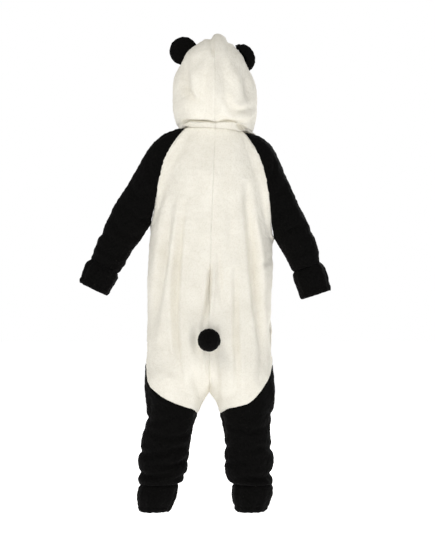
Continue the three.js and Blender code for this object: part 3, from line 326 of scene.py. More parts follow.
class PlushSizes(bpy.types.PropertyGroup):
    """Sizes of the plush and how strongly it is creased."""

    grain: FloatProperty(
        name="Grain", description="Distance between points of the cloth",
        default=3.3 * MM, min=MM, subtype="DISTANCE", unit="LENGTH")
    creasing: FloatProperty(
        name="Creasing", description="How deep the creases are, as a share of the drawn ones",
        default=1.0, min=0.0, max=1.5, subtype="FACTOR")
    pile: FloatProperty(
        name="Pile", description="Height of the lumps of the pile",
        default=0.9 * MM, min=0.0, subtype="DISTANCE", unit="LENGTH")
    black_pile: FloatProperty(
        name="Black pile", description="Height of the lumps of the longer black pile",
        default=1.5 * MM, min=0.0, subtype="DISTANCE", unit="LENGTH")
    slack: FloatProperty(
        name="Slack", description="Height of the cloth's broad unevenness",
        default=2.6 * MM, min=0.0, subtype="DISTANCE", unit="LENGTH")
    seam_depth: FloatProperty(
        name="Seam depth", description="How far the cloth is drawn in along a seam",
        default=2.2 * MM, min=0.0, subtype="DISTANCE", unit="LENGTH")
    seam_width: FloatProperty(
        name="Seam width", description="How far from a seam the cloth is drawn in",
        default=4.5 * MM, min=MM, subtype="DISTANCE", unit="LENGTH")
    stuffing_grain: FloatProperty(
        name="Stuffing grain", description="Distance between points of the ears and the tail",
        default=2.8 * MM, min=MM, subtype="DISTANCE", unit="LENGTH")


class PlushColours(bpy.types.PropertyGroup):
    """Colours of the cloth and of the zip."""

    cream: FloatVectorProperty(
        name="Cream", description="Colour of the body and the hood",
        default=(0.86, 0.83, 0.745), min=0.0, max=1.0, subtype="COLOR")
    # The cream between the tufts is painted shade in the hollows of the pile.
    cream_root: FloatVectorProperty(
        name="Cream tuft shade", description="Colour between the tufts of the cream pile",
        default=(0.79, 0.755, 0.66), min=0.0, max=1.0, subtype="COLOR")
    black: FloatVectorProperty(
        name="Black", description="Colour of the sleeves, legs, ears and tail",
        default=(0.0036, 0.0034, 0.0032), min=0.0, max=1.0, subtype="COLOR")
    # The black between the tufts is painted shade in the hollows of the pile.
    black_root: FloatVectorProperty(
        name="Black tuft shade", description="Colour between the tufts of the black pile",
        default=(0.001, 0.001, 0.001), min=0.0, max=1.0, subtype="COLOR")
    tape: FloatVectorProperty(
        name="Zip tape", description="Colour of the woven zip tape",
        default=(0.84, 0.8, 0.7), min=0.0, max=1.0, subtype="COLOR")
    teeth: FloatVectorProperty(
        name="Zip teeth", description="Colour of the moulded teeth",
        default=(0.82, 0.79, 0.7), min=0.0, max=1.0, subtype="COLOR")
    metal: FloatVectorProperty(
        name="Slider", description="Colour of the cast slider and its pull",
        default=(0.62, 0.62, 0.63), min=0.0, max=1.0, subtype="COLOR")


class StudioSizes(bpy.types.PropertyGroup):
    """The camera, the lights and the floor."""

    distance: FloatProperty(
        name="Camera distance", description="From the camera to the suit",
        default=5.6, min=1.0, subtype="DISTANCE", unit="LENGTH")
    view_height: FloatProperty(
        name="View height", description="Height of suit and margin that the camera takes in",
        default=1.45, min=0.1, subtype="DISTANCE", unit="LENGTH")
    view_middle: FloatVectorProperty(
        name="View middle", description="The point that the camera looks at",
        default=(-0.00675, 0.0, -0.3695), subtype="XYZ", unit="LENGTH")
    floor: FloatProperty(
        name="Floor", description="Height of the floor under the neck",
        default=-1.062, subtype="DISTANCE", unit="LENGTH")
    floor_glow: FloatProperty(
        name="Floor glow", description="Light that the floor gives, which keeps it pale far off",
        default=0.82, min=0.0)
    ambient: FloatProperty(
        name="Ambient", description="Strength of the light from all round",
        default=0.2, min=0.0)
    key: FloatProperty(
        name="Key light", description="Power of the large light behind the camera",
        default=84.0, min=0.0, subtype="POWER", unit="POWER")
    fill: FloatProperty(
        name="Fill light", description="Power of the light on the other side",
        default=26.0, min=0.0, subtype="POWER", unit="POWER")


# ---- Reading the cloth from the frame ----


def largest_group(faces):
    """Of the faces, those in the connected group with the largest area."""
    left = set(faces)
    groups = []
    while left:
        todo = [left.pop()]
        group = []
        while todo:
            face = todo.pop()
            group.append(face)
            for edge in face.edges:
                for other in edge.link_faces:
                    if other in left:
                        left.discard(other)
                        todo.append(other)
        groups.append(group)
    return max(groups, key=lambda group: sum(face.calc_area() for face in group))


def border_sides(triangles, points):
    """The borders of a patch of triangles, cut at its corners, as lists of point numbers."""
    uses = {}
    for triangle in triangles:
        for edge in combinations(sorted(triangle), 2):
            uses[edge] = uses.get(edge, 0) + 1
    ways = {}
    for (a, b), count in uses.items():
        if count == 1:
            ways.setdefault(a, []).append(b)
            ways.setdefault(b, []).append(a)
    touching = {a: sum(a in triangle for triangle in triangles) for a in ways}
    corners = [a for a in ways if touching[a] < 3]
    sides = []
    if corners:
        for start in corners:
            for step in ways[start]:
                side = [start, step]
                while side[-1] not in corners:
                    side.append(next(a for a in ways[side[-1]] if a != side[-2]))
                sides.append(side)
        return sides
    left = set(ways)
    while left:
        start = max(left, key=lambda a: tuple(points[a]))
        side = [start, ways[start][0]]
        while side[-1] != start:
            side.append(next(a for a in ways[side[-1]] if a != side[-2]))
        sides.append(side[:-1])
        left -= set(side)
    return sides


def climb(first_row, triangles, closed):
    """The rows of a patch above its first row, two triangles to a cell. None if it has none."""
    by_edge = {}
    for triangle in triangles:
        for edge in combinations(sorted(triangle), 2):
            by_edge.setdefault(edge, []).append(triangle)
    left = set(triangles)

    def third(a, b):
        for triangle in by_edge.get((min(a, b), max(a, b)), ()):
            if triangle in left:
                left.discard(triangle)
                return next(c for c in triangle if c not in (a, b))
        return None

    rows = [first_row]
    while left:
        row = rows[-1]
        following = row[1:] + row[:1] if closed else row[1:]
        corner = [third(a, b) for a, b in zip(row, following)]
        if None in corner:
            return None
        above = [third(a, c) for a, c in zip(row, corner)]
        if None in above:
            return None
        rows.append(above if closed else above + corner[-1:])
    return rows


def cloth_rows(name, wall):
    """The outer face of a CAD wall as rows of points, from its lowest border up.

    Seen from outside, the points of a row run to the right.
    """
    bm = bmesh.new()
    bm.from_mesh(frame["nodes"][name].data)
    bmesh.ops.remove_doubles(bm, verts=bm.verts, dist=2 * SAME_LENGTH)
    faces = [
        face for face in bm.faces
        if all(abs(edge.calc_length() - wall) > SAME_LENGTH for edge in face.edges)
    ]
    bm.verts.index_update()
    points = np.array([v.co for v in bm.verts])
    triangles = [tuple(sorted(v.index for v in face.verts)) for face in largest_group(faces)]
    bm.free()
    sides = border_sides(triangles, points)
    lowest = min(sides, key=lambda side: points[side, 2].mean())
    closed = len(sides) == 2
    starts = (lowest, lowest[:1] + lowest[:0:-1], lowest[::-1])
    found = [climb(row, triangles, closed) for row in starts]
    found = [points[rows] for rows in found if rows]
    if not found:
        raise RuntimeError(f"{name} isn't a wall of even cells")
    grid = min(found, key=lambda rows: np.linalg.norm(np.diff(rows, axis=0), axis=2).sum())
    offset = grid - grid.reshape(-1, 3).mean(axis=0)
    if (offset * normals_of(grid, closed)).sum() < 0:
        grid = grid[:, ::-1]
    return grid, closed


# ---- Smooth cloth through the rows ----


def smooth_through(points, grain, closed=False):
    """More points along a smooth surface through rows of points, and each point's row number."""
    first = 0
    last = len(points) - 1
    if closed:
        points = np.concatenate([points[-2:], points, points[:3]])
        first = 2
        last = len(points) - 3
    step = np.linalg.norm(np.diff(points, axis=0), axis=2)[..., None]
    slope = np.diff(points, axis=0) / np.maximum(step, 1e-9)
    tangent = np.empty_like(points)
    tangent[:2] = slope[0]
    tangent[1:-1] = (step[1:] * slope[:-1] + step[:-1] * slope[1:]) / (step[1:] + step[:-1])
    tangent[0] = 1.5 * slope[0] - 0.5 * tangent[1]
    tangent[-1] = 1.5 * slope[-1] - 0.5 * tangent[-2]
    found = []
    numbers = []
    for r in range(first, last):
        count = max(1, round(float(step[r].mean()) / grain))
        t = np.linspace(0, 1, count, endpoint=False)[:, None, None]
        found.append(
            points[r] * (1 + 2 * t) * (1 - t) ** 2
            + points[r + 1] * t * t * (3 - 2 * t)
            + step[r] * t * (1 - t) * (tangent[r] * (1 - t) - tangent[r + 1] * t)
        )
        numbers.append(r - first + t.ravel())
    if not closed:
        found.append(points[last:last + 1])
        numbers.append([last])
    return np.concatenate(found), np.concatenate(numbers)


def fine_cloth(rows, grain, closed):
    """Cloth through rows of points, finer both ways."""
    tall, row_numbers = smooth_through(rows, grain)
    wide, column_numbers = smooth_through(tall.transpose(1, 0, 2), grain, closed)
    return Cloth(rows, wide.transpose(1, 0, 2), row_numbers, column_numbers, closed)


def normals_of(grid, closed):
    """The outward normal at each point of a grid."""
    padded = np.concatenate([grid[:, -1:], grid, grid[:, :1]], axis=1) if closed else grid
    across = np.gradient(padded, axis=1)
    up = np.gradient(padded, axis=0)
    normals = np.cross(across, up)
    if closed:
        normals = normals[:, 1:-1]
    return normals / np.maximum(np.linalg.norm(normals, axis=2, keepdims=True), 1e-12)


def way_along(grid, axis):
    """The distance of each point from the first border, along the grid."""
    steps = np.linalg.norm(np.diff(grid, axis=axis), axis=2)
    start = np.zeros_like(np.take(steps, [0], axis=axis))
    return np.concatenate([start, np.cumsum(steps, axis=axis)], axis=axis)


def lumps(grid, size, seed):
    """Smooth noise between -1 and 1 at each point, with lumps of about that size."""
    offset = Vector((seed * 7.1, seed * 3.7, seed * 5.3))
    flat = grid.reshape(-1, 3) / size
    values = [noise.noise(Vector(p) + offset) for p in flat]
    return np.array(values).reshape(grid.shape[:2])


def rounded_path(path, steps=6):
    """A smooth line through the points of a crease."""
    points = np.array([(*p, 0.0) for p in path], float)[:, None, :]
    if len(points) < 3:
        return points[:, 0, :2]
    spacing = np.linalg.norm(np.diff(points, axis=0), axis=2).mean() / steps
    return smooth_through(points, spacing)[0][:, 0, :2]


def drawn_in(across, up, creases, turn=None):
    """How far the cloth is drawn in by creases at places given across and up, in millimetres.

    turn is what the places across grow by once round a sleeve or leg.
    """
    total = np.zeros_like(across)
    for crease in creases:
        path = rounded_path(crease.path)
        links = np.linalg.norm(np.diff(path, axis=0), axis=1)
        along = np.concatenate([[0], np.cumsum(links)])
        nearest = np.full(across.shape, np.inf)
        part = np.zeros_like(across)
        for shift in (0,) if turn is None else (-turn, 0, turn):
            for (x0, z0), (x1, z1), start, link in zip(path[:-1], path[1:], along, links):
                gap_x = across + shift - x0
                gap_z = up - z0
                t = np.clip((gap_x * (x1 - x0) + gap_z * (z1 - z0)) / link**2, 0, 1)
                distance = np.hypot(gap_x - t * (x1 - x0), gap_z - t * (z1 - z0))
                closer = distance < nearest
                nearest = np.where(closer, distance, nearest)
                part = np.where(closer, (start + t * link) / along[-1], part)
        fade = np.sin(np.pi * np.clip(0.04 + 0.92 * part, 0, 1)) ** 0.7
        ratio = nearest / crease.width
        trough = np.exp(-(ratio**2))
        shoulders = np.exp(-(((ratio - SHOULDER_PLACE) / SHOULDER_WIDTH) ** 2))
        total += crease.depth * fade * (trough - SHOULDER * shoulders * (crease.depth > 0))
    return total


def hood_sag(across, up):
    """How far the back of the hood hangs down over its neck, just above its lowest fold."""
    line = np.interp(across, *zip(*HOOD_LIP))
    above = (up - line) / LIP_HEIGHT
    over = np.exp(-((above - 0.3) ** 2))
    under = np.exp(-((above * 3 + 0.2) ** 2))
    return SAG * np.where(above > -0.25, over, under)


def in_degrees(creases, radius):
    """Creases whose places across are angles, turned into distances round that radius."""
    scale = math.radians(radius)
    return [c._replace(path=[(angle * scale, up) for angle, up in c.path]) for c in creases]


# ---- Making the pieces ----


def settle(obj, materials, replaced):
    """Gives a finished piece its materials and its body, and hides the CAD part that it replaces.
    """
    for material in materials:
        obj.data.materials.append(material)
    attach(obj, SUIT)
    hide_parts(replaced)
    return obj


def new_object(name, points, faces, backs=(), rims=0):
    """A smooth-shaded mesh object whose last faces, the rims, are flat.

    The faces in backs take the second material.
    """
    mesh = bpy.data.meshes.new(name)
    mesh.from_pydata([tuple(p) for p in points], [], [tuple(f) for f in faces])
    mesh.update()
    smooth = np.ones(len(mesh.polygons), bool)
    smooth[len(smooth) - rims:] = False
    mesh.polygons.foreach_set("use_smooth", smooth)
    if len(backs):
        numbers = np.zeros(len(mesh.polygons), np.int32)
        numbers[list(backs)] = 1
        mesh.polygons.foreach_set("material_index", numbers)
    bm = bmesh.new()
    bm.from_mesh(mesh)
    bmesh.ops.recalc_face_normals(bm, faces=bm.faces)
    bm.to_mesh(mesh)
    bm.free()
    obj = bpy.data.objects.new(name, mesh)
    bpy.context.scene.collection.objects.link(obj)
    return obj


def shell(name, outer, inner, closed):
    """A closed wall of cloth between its face and its back."""
    rows, columns = outer.shape[:2]
    count = rows * columns
    number = np.arange(count).reshape(rows, columns)
    if closed:
        number = np.concatenate([number, number[:, :1]], axis=1)
    a, b = number[:-1, :-1].ravel(), number[:-1, 1:].ravel()
    c, d = number[1:, 1:].ravel(), number[1:, :-1].ravel()
    front = np.stack([a, b, c, d], axis=1)
    back = front[:, ::-1] + count
    borders = [number[0], number[-1][::-1]]
    if not closed:
        borders += [number[:, -1], number[:, 0][::-1]]
    rims = [
        np.stack([line[:-1], line[:-1] + count, line[1:] + count, line[1:]], axis=1)
        for line in borders
    ]
    faces = np.concatenate([front, back, *rims])
    points = np.concatenate([outer.reshape(-1, 3), inner.reshape(-1, 3)])
    behind = range(len(front), 2 * len(front))
    return new_object(name, points, faces, behind, sum(len(rim) for rim in rims))


def from_borders(grid):
    """How far each point of a grid is from each border."""
    along = way_along(grid, 0)
    over = way_along(grid, 1)
    return {
        "bottom": along, "top": along[-1] - along,
        "first": over, "last": over[:, -1:] - over,
    }


def stillness(distance):
    """How much of a crease is left at a distance from a calm border: none at it, all far off."""
    share = np.clip((distance - STILL_FROM) / (STILL_TO - STILL_FROM), 0, 1)
    return share * share * (3 - 2 * share)


def sewn_in(distance, sizes):
    """How far a seam draws the cloth in, with a soft ridge beside it."""
    ratio = distance / sizes.seam_width
    return sizes.seam_depth * (np.exp(-(ratio**2)) - SEAM_SWELL * np.exp(-((ratio - 2.3) ** 2)))


def turned_hem(distance, wall, grain):
    """How far a hem stands out from the face of the cloth, and how far its edge is pinched."""
    ratio = distance / (HEM_WIDTH * wall)
    roll = HEM_ROLL * wall * np.exp(-((ratio - 0.9) ** 2) * 3)
    stitched = HEM_DRAWN_IN * np.exp(-(((distance - HEM_STITCHES) / STITCHES_WIDTH) ** 2))
    pinched = HEM_PINCH * wall * (distance < 0.4 * grain)
    return roll - pinched - stitched, pinched


def cloth_piece(name, slot, place, creases, seams, hems=(), turn=None, wall=WALL, calm=None,
                lap=LAP, grain=1.0, sag=None):
    """A piece of plush in place of its CAD wall.

    place gives where each point is, across and up in millimetres, for the creases. The borders
    are bottom, top, first and last, where first is on the left as seen from outside. seams gives
    those that are sewn on and how strongly each draws the cloth in, and hems those that are
    turned in. calm is a border beside the zip or round the face, along which the cloth lies
    still. lap is how far the cloth goes over its seams, grain makes it finer or coarser, and sag
    lets finished cloth hang down.
    """
    sizes = bpy.context.scene.onesie_sizes
    rows, closed = cloth_rows(name, wall)
    cloth = fine_cloth(rows, sizes.grain * grain, closed)
    grid = cloth.grid
    normals = normals_of(grid, closed)
    across, up = place(cloth)
    distances = from_borders(grid)
    still = stillness(distances[calm]) if calm else np.ones(grid.shape[:2])
    depth = drawn_in(across, up, creases, turn) * MM * sizes.creasing
    depth += lumps(grid, SLACK, seed=0) * sizes.slack
    depth += lumps(grid, LESSER_SLACK, seed=1) * sizes.slack * LESSER_SLACK_SHARE
    depth *= still
    for border, strength in seams.items():
        depth += strength * sewn_in(distances[border], sizes)
    tufts = lumps(grid, TUFT, seed=2) + LESSER_TUFT_SHARE * lumps(grid, LESSER_TUFT, seed=3)
    height = sizes.pile if slot == "cream_plush" else sizes.black_pile
    depth += tufts * height * (CALM_TUFTS + (1 - CALM_TUFTS) * still)
    outer = meet(grid, normals, seams, lap) - normals * depth[..., None]
    if sag:
        outer[..., 2] -= sag(across, up)
    bend = normals_of(outer, closed)
    inner = outer - bend * wall
    for border in hems:
        raised, pinched = turned_hem(distances[border], wall, sizes.grain)
        outer = outer + bend * raised[..., None]
        inner = inner + bend * pinched[..., None]
    obj = shell(name + "_plush", outer, inner, closed)
    colour = slot.split("_")[0]
    settle(obj, [plush(colour), backing(colour)], name)
    width, length, area = flat_cut(cloth)
    return obj


def flat_cut(cloth):
    """The width, length and area of the flat cloth that shows, all round on a tube."""
    width = np.linalg.norm(np.diff(cloth.rows, axis=1), axis=2).sum(axis=1).max()
    if cloth.closed:
        width += np.linalg.norm(cloth.rows[:, 0] - cloth.rows[:, -1], axis=1).max()
    length = np.linalg.norm(np.diff(cloth.rows, axis=0), axis=2).sum(axis=0).max()
    width, length = width * math.sqrt(TAKE_UP), length * math.sqrt(TAKE_UP)
    area = min(TAKE_UP * surface_of(cloth.grid, cloth.closed), width * length)
    return round(float(width), 3), round(float(length), 3), round(float(area), 4)


def meet(grid, normals, seams, lap):
    """The cloth with its sewn borders moved out and down, so that the piles of two pieces meet."""
    met = grid.copy()
    for border in seams:
        edge, beside = {
            "bottom": (np.s_[0], np.s_[1]), "top": (np.s_[-1], np.s_[-2]),
            "first": (np.s_[:, 0], np.s_[:, 1]), "last": (np.s_[:, -1], np.s_[:, -2]),
        }[border]
        way = grid[edge] - grid[beside]
        met[edge] += way * lap / np.maximum(np.linalg.norm(way, axis=-1, keepdims=True), 1e-9)
        met[edge] -= SEAM_SUNK * lap * normals[edge]
    return met


def surface_of(grid, closed):
    """The area of a grid of cloth."""
    if closed:
        grid = np.concatenate([grid, grid[:, :1]], axis=1)
    first = grid[1:, 1:] - grid[:-1, :-1]
    second = grid[1:, :-1] - grid[:-1, 1:]
    return float(np.linalg.norm(np.cross(first, second), axis=2).sum() / 2)


# ---- Where a point is, for the creases ----


def body_place(cloth):
    """Across from the middle of the neck and up from it."""
    return cloth.grid[..., 0] / MM, cloth.grid[..., 2] / MM


def leg_place(side):
    """Round the leg from its outer side, and up."""

    def place(cloth):
        grid = cloth.grid
        middle = (grid[:, :1, 0] + grid[:, -1:, 0]) / 2
        out = SIDES[side] * (grid[..., 0] - middle)
        return np.arctan2(grid[..., 1], out) * LEG_RADIUS, grid[..., 2] / MM

    return place


def sleeve_place(side):
    """Round the sleeve from its outer side, and up from the cuff."""

    def place(cloth):
        share = cloth.column_numbers / (cloth.rows.shape[1] - 1)
        angle = SIDES[side] * math.pi * (2 * share - 1)
        up = way_along(cloth.grid, 0).mean(axis=1, keepdims=True) / MM
        shape = cloth.grid.shape[:2]
        return np.broadcast_to(angle * SLEEVE_RADIUS, shape), np.broadcast_to(up, shape)

    return place


def cuff_place(cloth):
    """Round the cuff, and up in hundredths of its length."""
    offset = cloth.grid - cloth.grid.mean(axis=1, keepdims=True)
    angle = np.arctan2(offset[..., 1], offset[..., 0])
    share = cloth.row_numbers[:, None] / cloth.row_numbers[-1]
    return angle * CUFF_RADIUS, np.broadcast_to(100 * share, angle.shape)


# ---- Materials ----


def new_material(name):
    """A new material, with its nodes, its shader and a piece's own places to lay a pattern by."""
    material = bpy.data.materials.new(name)
    material.use_nodes = True
    tree = material.node_tree
    place = add(tree, "ShaderNodeTexCoord").outputs["Object"]
    return material, tree, tree.nodes["Principled BSDF"], place


def dial(node, **values):
    """Sets a node's sockets to numbers or colours, by their names."""
    for name, value in values.items():
        node.inputs[name.replace("_", " ")].default_value = value


def add(tree, kind, **settings):
    """A node with its settings; a number or colour for a socket goes by the socket's name."""
    node = tree.nodes.new(kind)
    for name, value in settings.items():
        if hasattr(node, name):
            setattr(node, name, value)
        else:
            dial(node, **{name: value})
    return node


def grain_noise(tree, place, size, detail=2.0, roughness=0.5):
    """Noise whose lumps are about that many metres across."""
    made = add(tree, "ShaderNodeTexNoise", Scale=1 / size, Detail=detail, Roughness=roughness)
    tree.links.new(place, made.inputs["Vector"])
    return made.outputs["Fac"]


def bump_on(tree, height, distance, strength, under=None):
    """A bump from a height, over another bump."""
    made = add(tree, "ShaderNodeBump", Strength=strength, Distance=distance)
    tree.links.new(height, made.inputs["Height"])
    if under:
        tree.links.new(under, made.inputs["Normal"])
    return made.outputs["Normal"]


def blend_colours(tree, factor, low, high, from_value=0.3, to_value=0.7):
    """A colour between two, by a factor stretched between two values."""
    ramp = add(tree, "ShaderNodeValToRGB")
    ramp.color_ramp.elements[0].position = from_value
    ramp.color_ramp.elements[0].color = (*low, 1)
    ramp.color_ramp.elements[1].position = to_value
    ramp.color_ramp.elements[1].color = (*high, 1)
    tree.links.new(factor, ramp.inputs["Fac"])
    return ramp.outputs["Color"]


def darker(colour, share):
    """A colour with that share of its light."""
    return tuple(share * part for part in colour)


def kept(name, make):
    """The material of that name, made on its first use."""
    return bpy.data.materials.get(name) or make(name)


def plush(colour):
    """Long soft pile, in cream or black: clumped tufts with painted shade between them, and a soft
    sheen.
    """

    def make(name):
        colours = bpy.context.scene.onesie_colours
        material, tree, shader, place = new_material(name)
        tufts = grain_noise(tree, place, 4.2 * MM, detail=3.0, roughness=0.6)
        fibres = grain_noise(tree, place, 1.1 * MM)
        patches = grain_noise(tree, place, 50 * MM)
        tips = getattr(colours, colour)
        # The colour between the tufts is painted shade: the pile is darker where its bump is low.
        tuft_shade = getattr(colours, colour + "_root")
        mixed = add(tree, "ShaderNodeMix", data_type="RGBA", blend_type="MULTIPLY", Factor=1.0)
        tree.links.new(blend_colours(tree, tufts, tuft_shade, tips, 0.28, 0.55), mixed.inputs["A"])
        shade = blend_colours(tree, patches, (0.93, 0.925, 0.915), (1, 1, 1))
        tree.links.new(shade, mixed.inputs["B"])
        tree.links.new(mixed.outputs["Result"], shader.inputs["Base Color"])
        lying = bump_on(tree, tufts, 2.2 * MM, 0.55)
        tree.links.new(bump_on(tree, fibres, 0.5 * MM, 0.5, lying), shader.inputs["Normal"])
        specular, sheen, tint = PLUSH_SHINE[colour]
        dial(shader, Roughness=0.95, Specular_IOR_Level=specular)
        dial(shader, Sheen_Roughness=0.45, Sheen_Weight=sheen, Sheen_Tint=(*tint, 1))
        return material

    return kept(f"{colour} plush", make)


def backing(colour):
    """The knitted back of the plush, seen inside the hood and the legs."""

    def make(name):
        material, tree, shader, place = new_material(name)
        knit = add(tree, "ShaderNodeTexWave", Scale=260.0, Distortion=1.2, Detail=1.0)
        tree.links.new(place, knit.inputs["Vector"])
        ribs = knit.outputs["Fac"]
        base = getattr(bpy.context.scene.onesie_colours, colour)
        shade = blend_colours(tree, ribs, darker(base, 0.78), darker(base, 0.95), 0.2, 0.8)
        tree.links.new(shade, shader.inputs["Base Color"])
        tree.links.new(bump_on(tree, ribs, 0.5 * MM, 0.5), shader.inputs["Normal"])
        dial(shader, Roughness=0.85, Sheen_Weight=0.1 if colour == "cream" else 0.03)
        return material

    return kept(f"{colour} backing", make)


def zip_tape_cloth():
    """Twill-woven tape."""

    def make(name):
        material, tree, shader, place = new_material(name)
        weave = add(tree, "ShaderNodeTexWave", Scale=420.0, Distortion=0.4)
        weave.bands_direction = "DIAGONAL"
        tree.links.new(place, weave.inputs["Vector"])
        threads = weave.outputs["Fac"]
        base = bpy.context.scene.onesie_colours.tape
        colour = blend_colours(tree, threads, darker(base, 0.8), base, 0.2, 0.8)
        tree.links.new(colour, shader.inputs["Base Color"])
        tree.links.new(bump_on(tree, threads, 0.2 * MM, 0.5), shader.inputs["Normal"])
        dial(shader, Roughness=0.8)
        return material

    return kept("zip tape", make)


def moulded():
    """Semi-matt plastic with a faint unevenness from the mould."""

    def make(name):
        material, tree, shader, place = new_material(name)
        cloud = grain_noise(tree, place, 6 * MM)
        base = bpy.context.scene.onesie_colours.teeth
        colour = blend_colours(tree, cloud, darker(base, 0.9), base)
        tree.links.new(colour, shader.inputs["Base Color"])
        tree.links.new(bump_on(tree, cloud, 0.1 * MM, 0.3), shader.inputs["Normal"])
        dial(shader, Roughness=0.42)
        return material

    return kept("moulded teeth", make)


def cast_metal():
    """Satin nickel-coloured casting, a little worn."""

    def make(name):
        material, tree, shader, place = new_material(name)
        cloud = grain_noise(tree, place, 3 * MM, detail=4.0)
        base = bpy.context.scene.onesie_colours.metal
        colour = blend_colours(tree, cloud, darker(base, 0.8), base)
        tree.links.new(colour, shader.inputs["Base Color"])
        span = add(tree, "ShaderNodeMapRange", To_Min=0.26, To_Max=0.42)
        tree.links.new(cloud, span.inputs["Value"])
        tree.links.new(span.outputs["Result"], shader.inputs["Roughness"])
        tree.links.new(bump_on(tree, cloud, 0.05 * MM, 0.3), shader.inputs["Normal"])
        dial(shader, Metallic=1.0)
        return material

    return kept("cast metal", make)


# ---- Stuffed pieces ----


def pressed_out(obj, cap):
    """Fills a closed piece out with a short cloth simulation, and applies it."""
    start = np.array([v.co for v in obj.data.vertices])
    cloth = obj.modifiers.new("Filling", "CLOTH")
    cloth.settings.use_pressure = True
    cloth.settings.uniform_pressure_force = PRESSURE
    cloth.settings.effector_weights.gravity = 0
    scene = bpy.context.scene
    for number in range(1, 16):
        scene.frame_set(number)
    evaluated = obj.evaluated_get(bpy.context.evaluated_depsgraph_get())
    moved = np.array([v.co for v in evaluated.data.vertices])
    obj.modifiers.remove(cloth)
    scene.frame_set(1)
    way = moved - start
    far = np.linalg.norm(way, axis=1, keepdims=True)
    start += way * np.minimum(1, cap / np.maximum(far, 1e-9))
    obj.data.vertices.foreach_set("co", start.astype(np.float32).ravel())
    obj.data.update()


def swell(obj, distance):
    """A modifier that moves a surface out. Out and back in again closes narrow gaps."""
    swelling = obj.modifiers.new("Swell", "DISPLACE")
    swelling.strength = distance
    swelling.mid_level = 0.0


def pressed_on(points, name):
    """Points near a piece of plush are moved on to it, as where a foot is sewn down."""
    under = bpy.data.objects[name + "_plush"].data
    tree = BVHTree.FromPolygons(
        [v.co for v in under.vertices], [tuple(p.vertices) for p in under.polygons]
    )
    moved = points.copy()
    for index, point in enumerate(points):
        hit, _, _, distance = tree.find_nearest(Vector(point))
        hold = min(max(2 - 2 * distance / FOOT_REACH, 0), 1)
        moved[index] += (np.array(hit) - point) * hold
    return moved


def stuffed_piece(name, puff, shape, sewn_to=None):
    """A stuffed plush piece in place of its CAD solid. shape moves its points at the end."""
    sizes = bpy.context.scene.onesie_sizes
    mesh = frame["nodes"][name].data.copy()
    mesh.materials.clear()
    mesh.name = name + "_plush"
    obj = bpy.data.objects.new(name + "_plush", mesh)
    bpy.context.scene.collection.objects.link(obj)
    obj.modifiers.new("Joined", "WELD").merge_threshold = 0.05 * MM
    swell(obj, CLOSED_GAP)
    remesh = obj.modifiers.new("Even", "REMESH")
    remesh.mode = "VOXEL"
    remesh.voxel_size = sizes.stuffing_grain
    swell(obj, -CLOSED_GAP)
    apply_modifiers(obj)
    pressed_out(obj, cap=puff)
    smooth = obj.modifiers.new("Smooth", "SMOOTH")
    smooth.iterations = 4
    rounder = obj.modifiers.new("Rounder", "SUBSURF")
    rounder.levels = rounder.render_levels = 1
    apply_modifiers(obj)
    points = np.array([v.co for v in obj.data.vertices])
    facing = np.array([v.normal for v in obj.data.vertices])
    points = shape(points, facing)
    as_grid = points[:, None, :]
    tufts = lumps(as_grid, STUFFED_TUFT, seed=5)
    tufts += LESSER_TUFT_SHARE * lumps(as_grid, LESSER_TUFT, seed=6)
    points = points - facing * tufts * STUFFED_PILE * sizes.pile
    if sewn_to:
        points = pressed_on(points, sewn_to)
    obj.data.vertices.foreach_set("co", points.astype(np.float32).ravel())
    obj.data.polygons.foreach_set("use_smooth", [True] * len(obj.data.polygons))
    obj.data.update()
    settle(obj, [plush("black")], name)
    return obj


def apply_modifiers(obj):
    """Makes a piece's modifiers part of its mesh."""
    evaluated = obj.evaluated_get(bpy.context.evaluated_depsgraph_get())
    made = bpy.data.meshes.new_from_object(evaluated)
    obj.modifiers.clear()
    obj.data = made


def ear_shape(points, facing):
    """A seam round the rim of the ear, and a soft hollow in each face."""
    middle = points.mean(axis=0)
    offset = points - middle
    thin = np.linalg.svd(offset, full_matrices=False)[2][2]
    height = offset @ thin
    spread = np.linalg.norm(offset - height[:, None] * thin, axis=1)
    edge = spread / spread.max()
    seam = EAR_SEAM * np.exp(-((height / EAR_SEAM_WIDTH) ** 2)) * np.clip((edge - 0.5) * 4, 0, 1)
    hollow = EAR_HOLLOW * np.exp(-((edge / HOLLOW_SPREAD) ** 2))
    facing_way = np.sign(height)[:, None] * thin
    return points - facing * seam[:, None] - facing_way * hollow[:, None]


def tail_shape(points, facing):
    """A round tail, a little drawn in at its middle where it is closed."""
    middle = points.mean(axis=0)
    top = points[:, 1].max()
    across = np.hypot(points[:, 0] - middle[0], points[:, 2] - middle[2])
    dimple = TAIL_DIMPLE * np.exp(-((across / DIMPLE_WIDTH) ** 2)) * (points[:, 1] > middle[1])
    return points - np.outer(dimple * (points[:, 1] / top), (0, 1, 0))


# ---- Zip ----


def chain_line():
    """The middle of the zip chain's face, its way up and its way out, from the bottom."""
    rows, _ = cloth_rows("zip_chain", CHAIN_WALL)
    middle = rows.mean(axis=1, keepdims=True)
    line, _ = smooth_through(middle, TEETH_PITCH)
    line = line[:, 0]
    up = np.gradient(line, axis=0)
    up /= np.linalg.norm(up, axis=1, keepdims=True)
    out = np.cross(up, (1, 0, 0))
    out *= -np.sign(out[:, 1:2])
    return line, up, out


def tooth(width, height, depth):
    """Points and faces of one moulded tooth with a raised, bevelled head."""
    outline = [(-0.5, -0.5), (0.28, -0.5), (0.5, -0.2), (0.5, 0.2), (0.28, 0.5), (-0.5, 0.5)]
    levels = [(1.0, 0.0), (1.0, 0.62), (0.62, 1.0)]
    points = [
        (x * width * size, y * height * size, z * depth)
        for size, z in levels for x, y in outline
    ]
    count = len(outline)
    faces = [tuple(range(count))[::-1], tuple(range(2 * count, 3 * count))]
    for level in range(2):
        for i in range(count):
            following = (i + 1) % count
            low = level * count
            faces.append((low + i, low + following, low + count + following, low + count + i))
    return np.array(points), faces


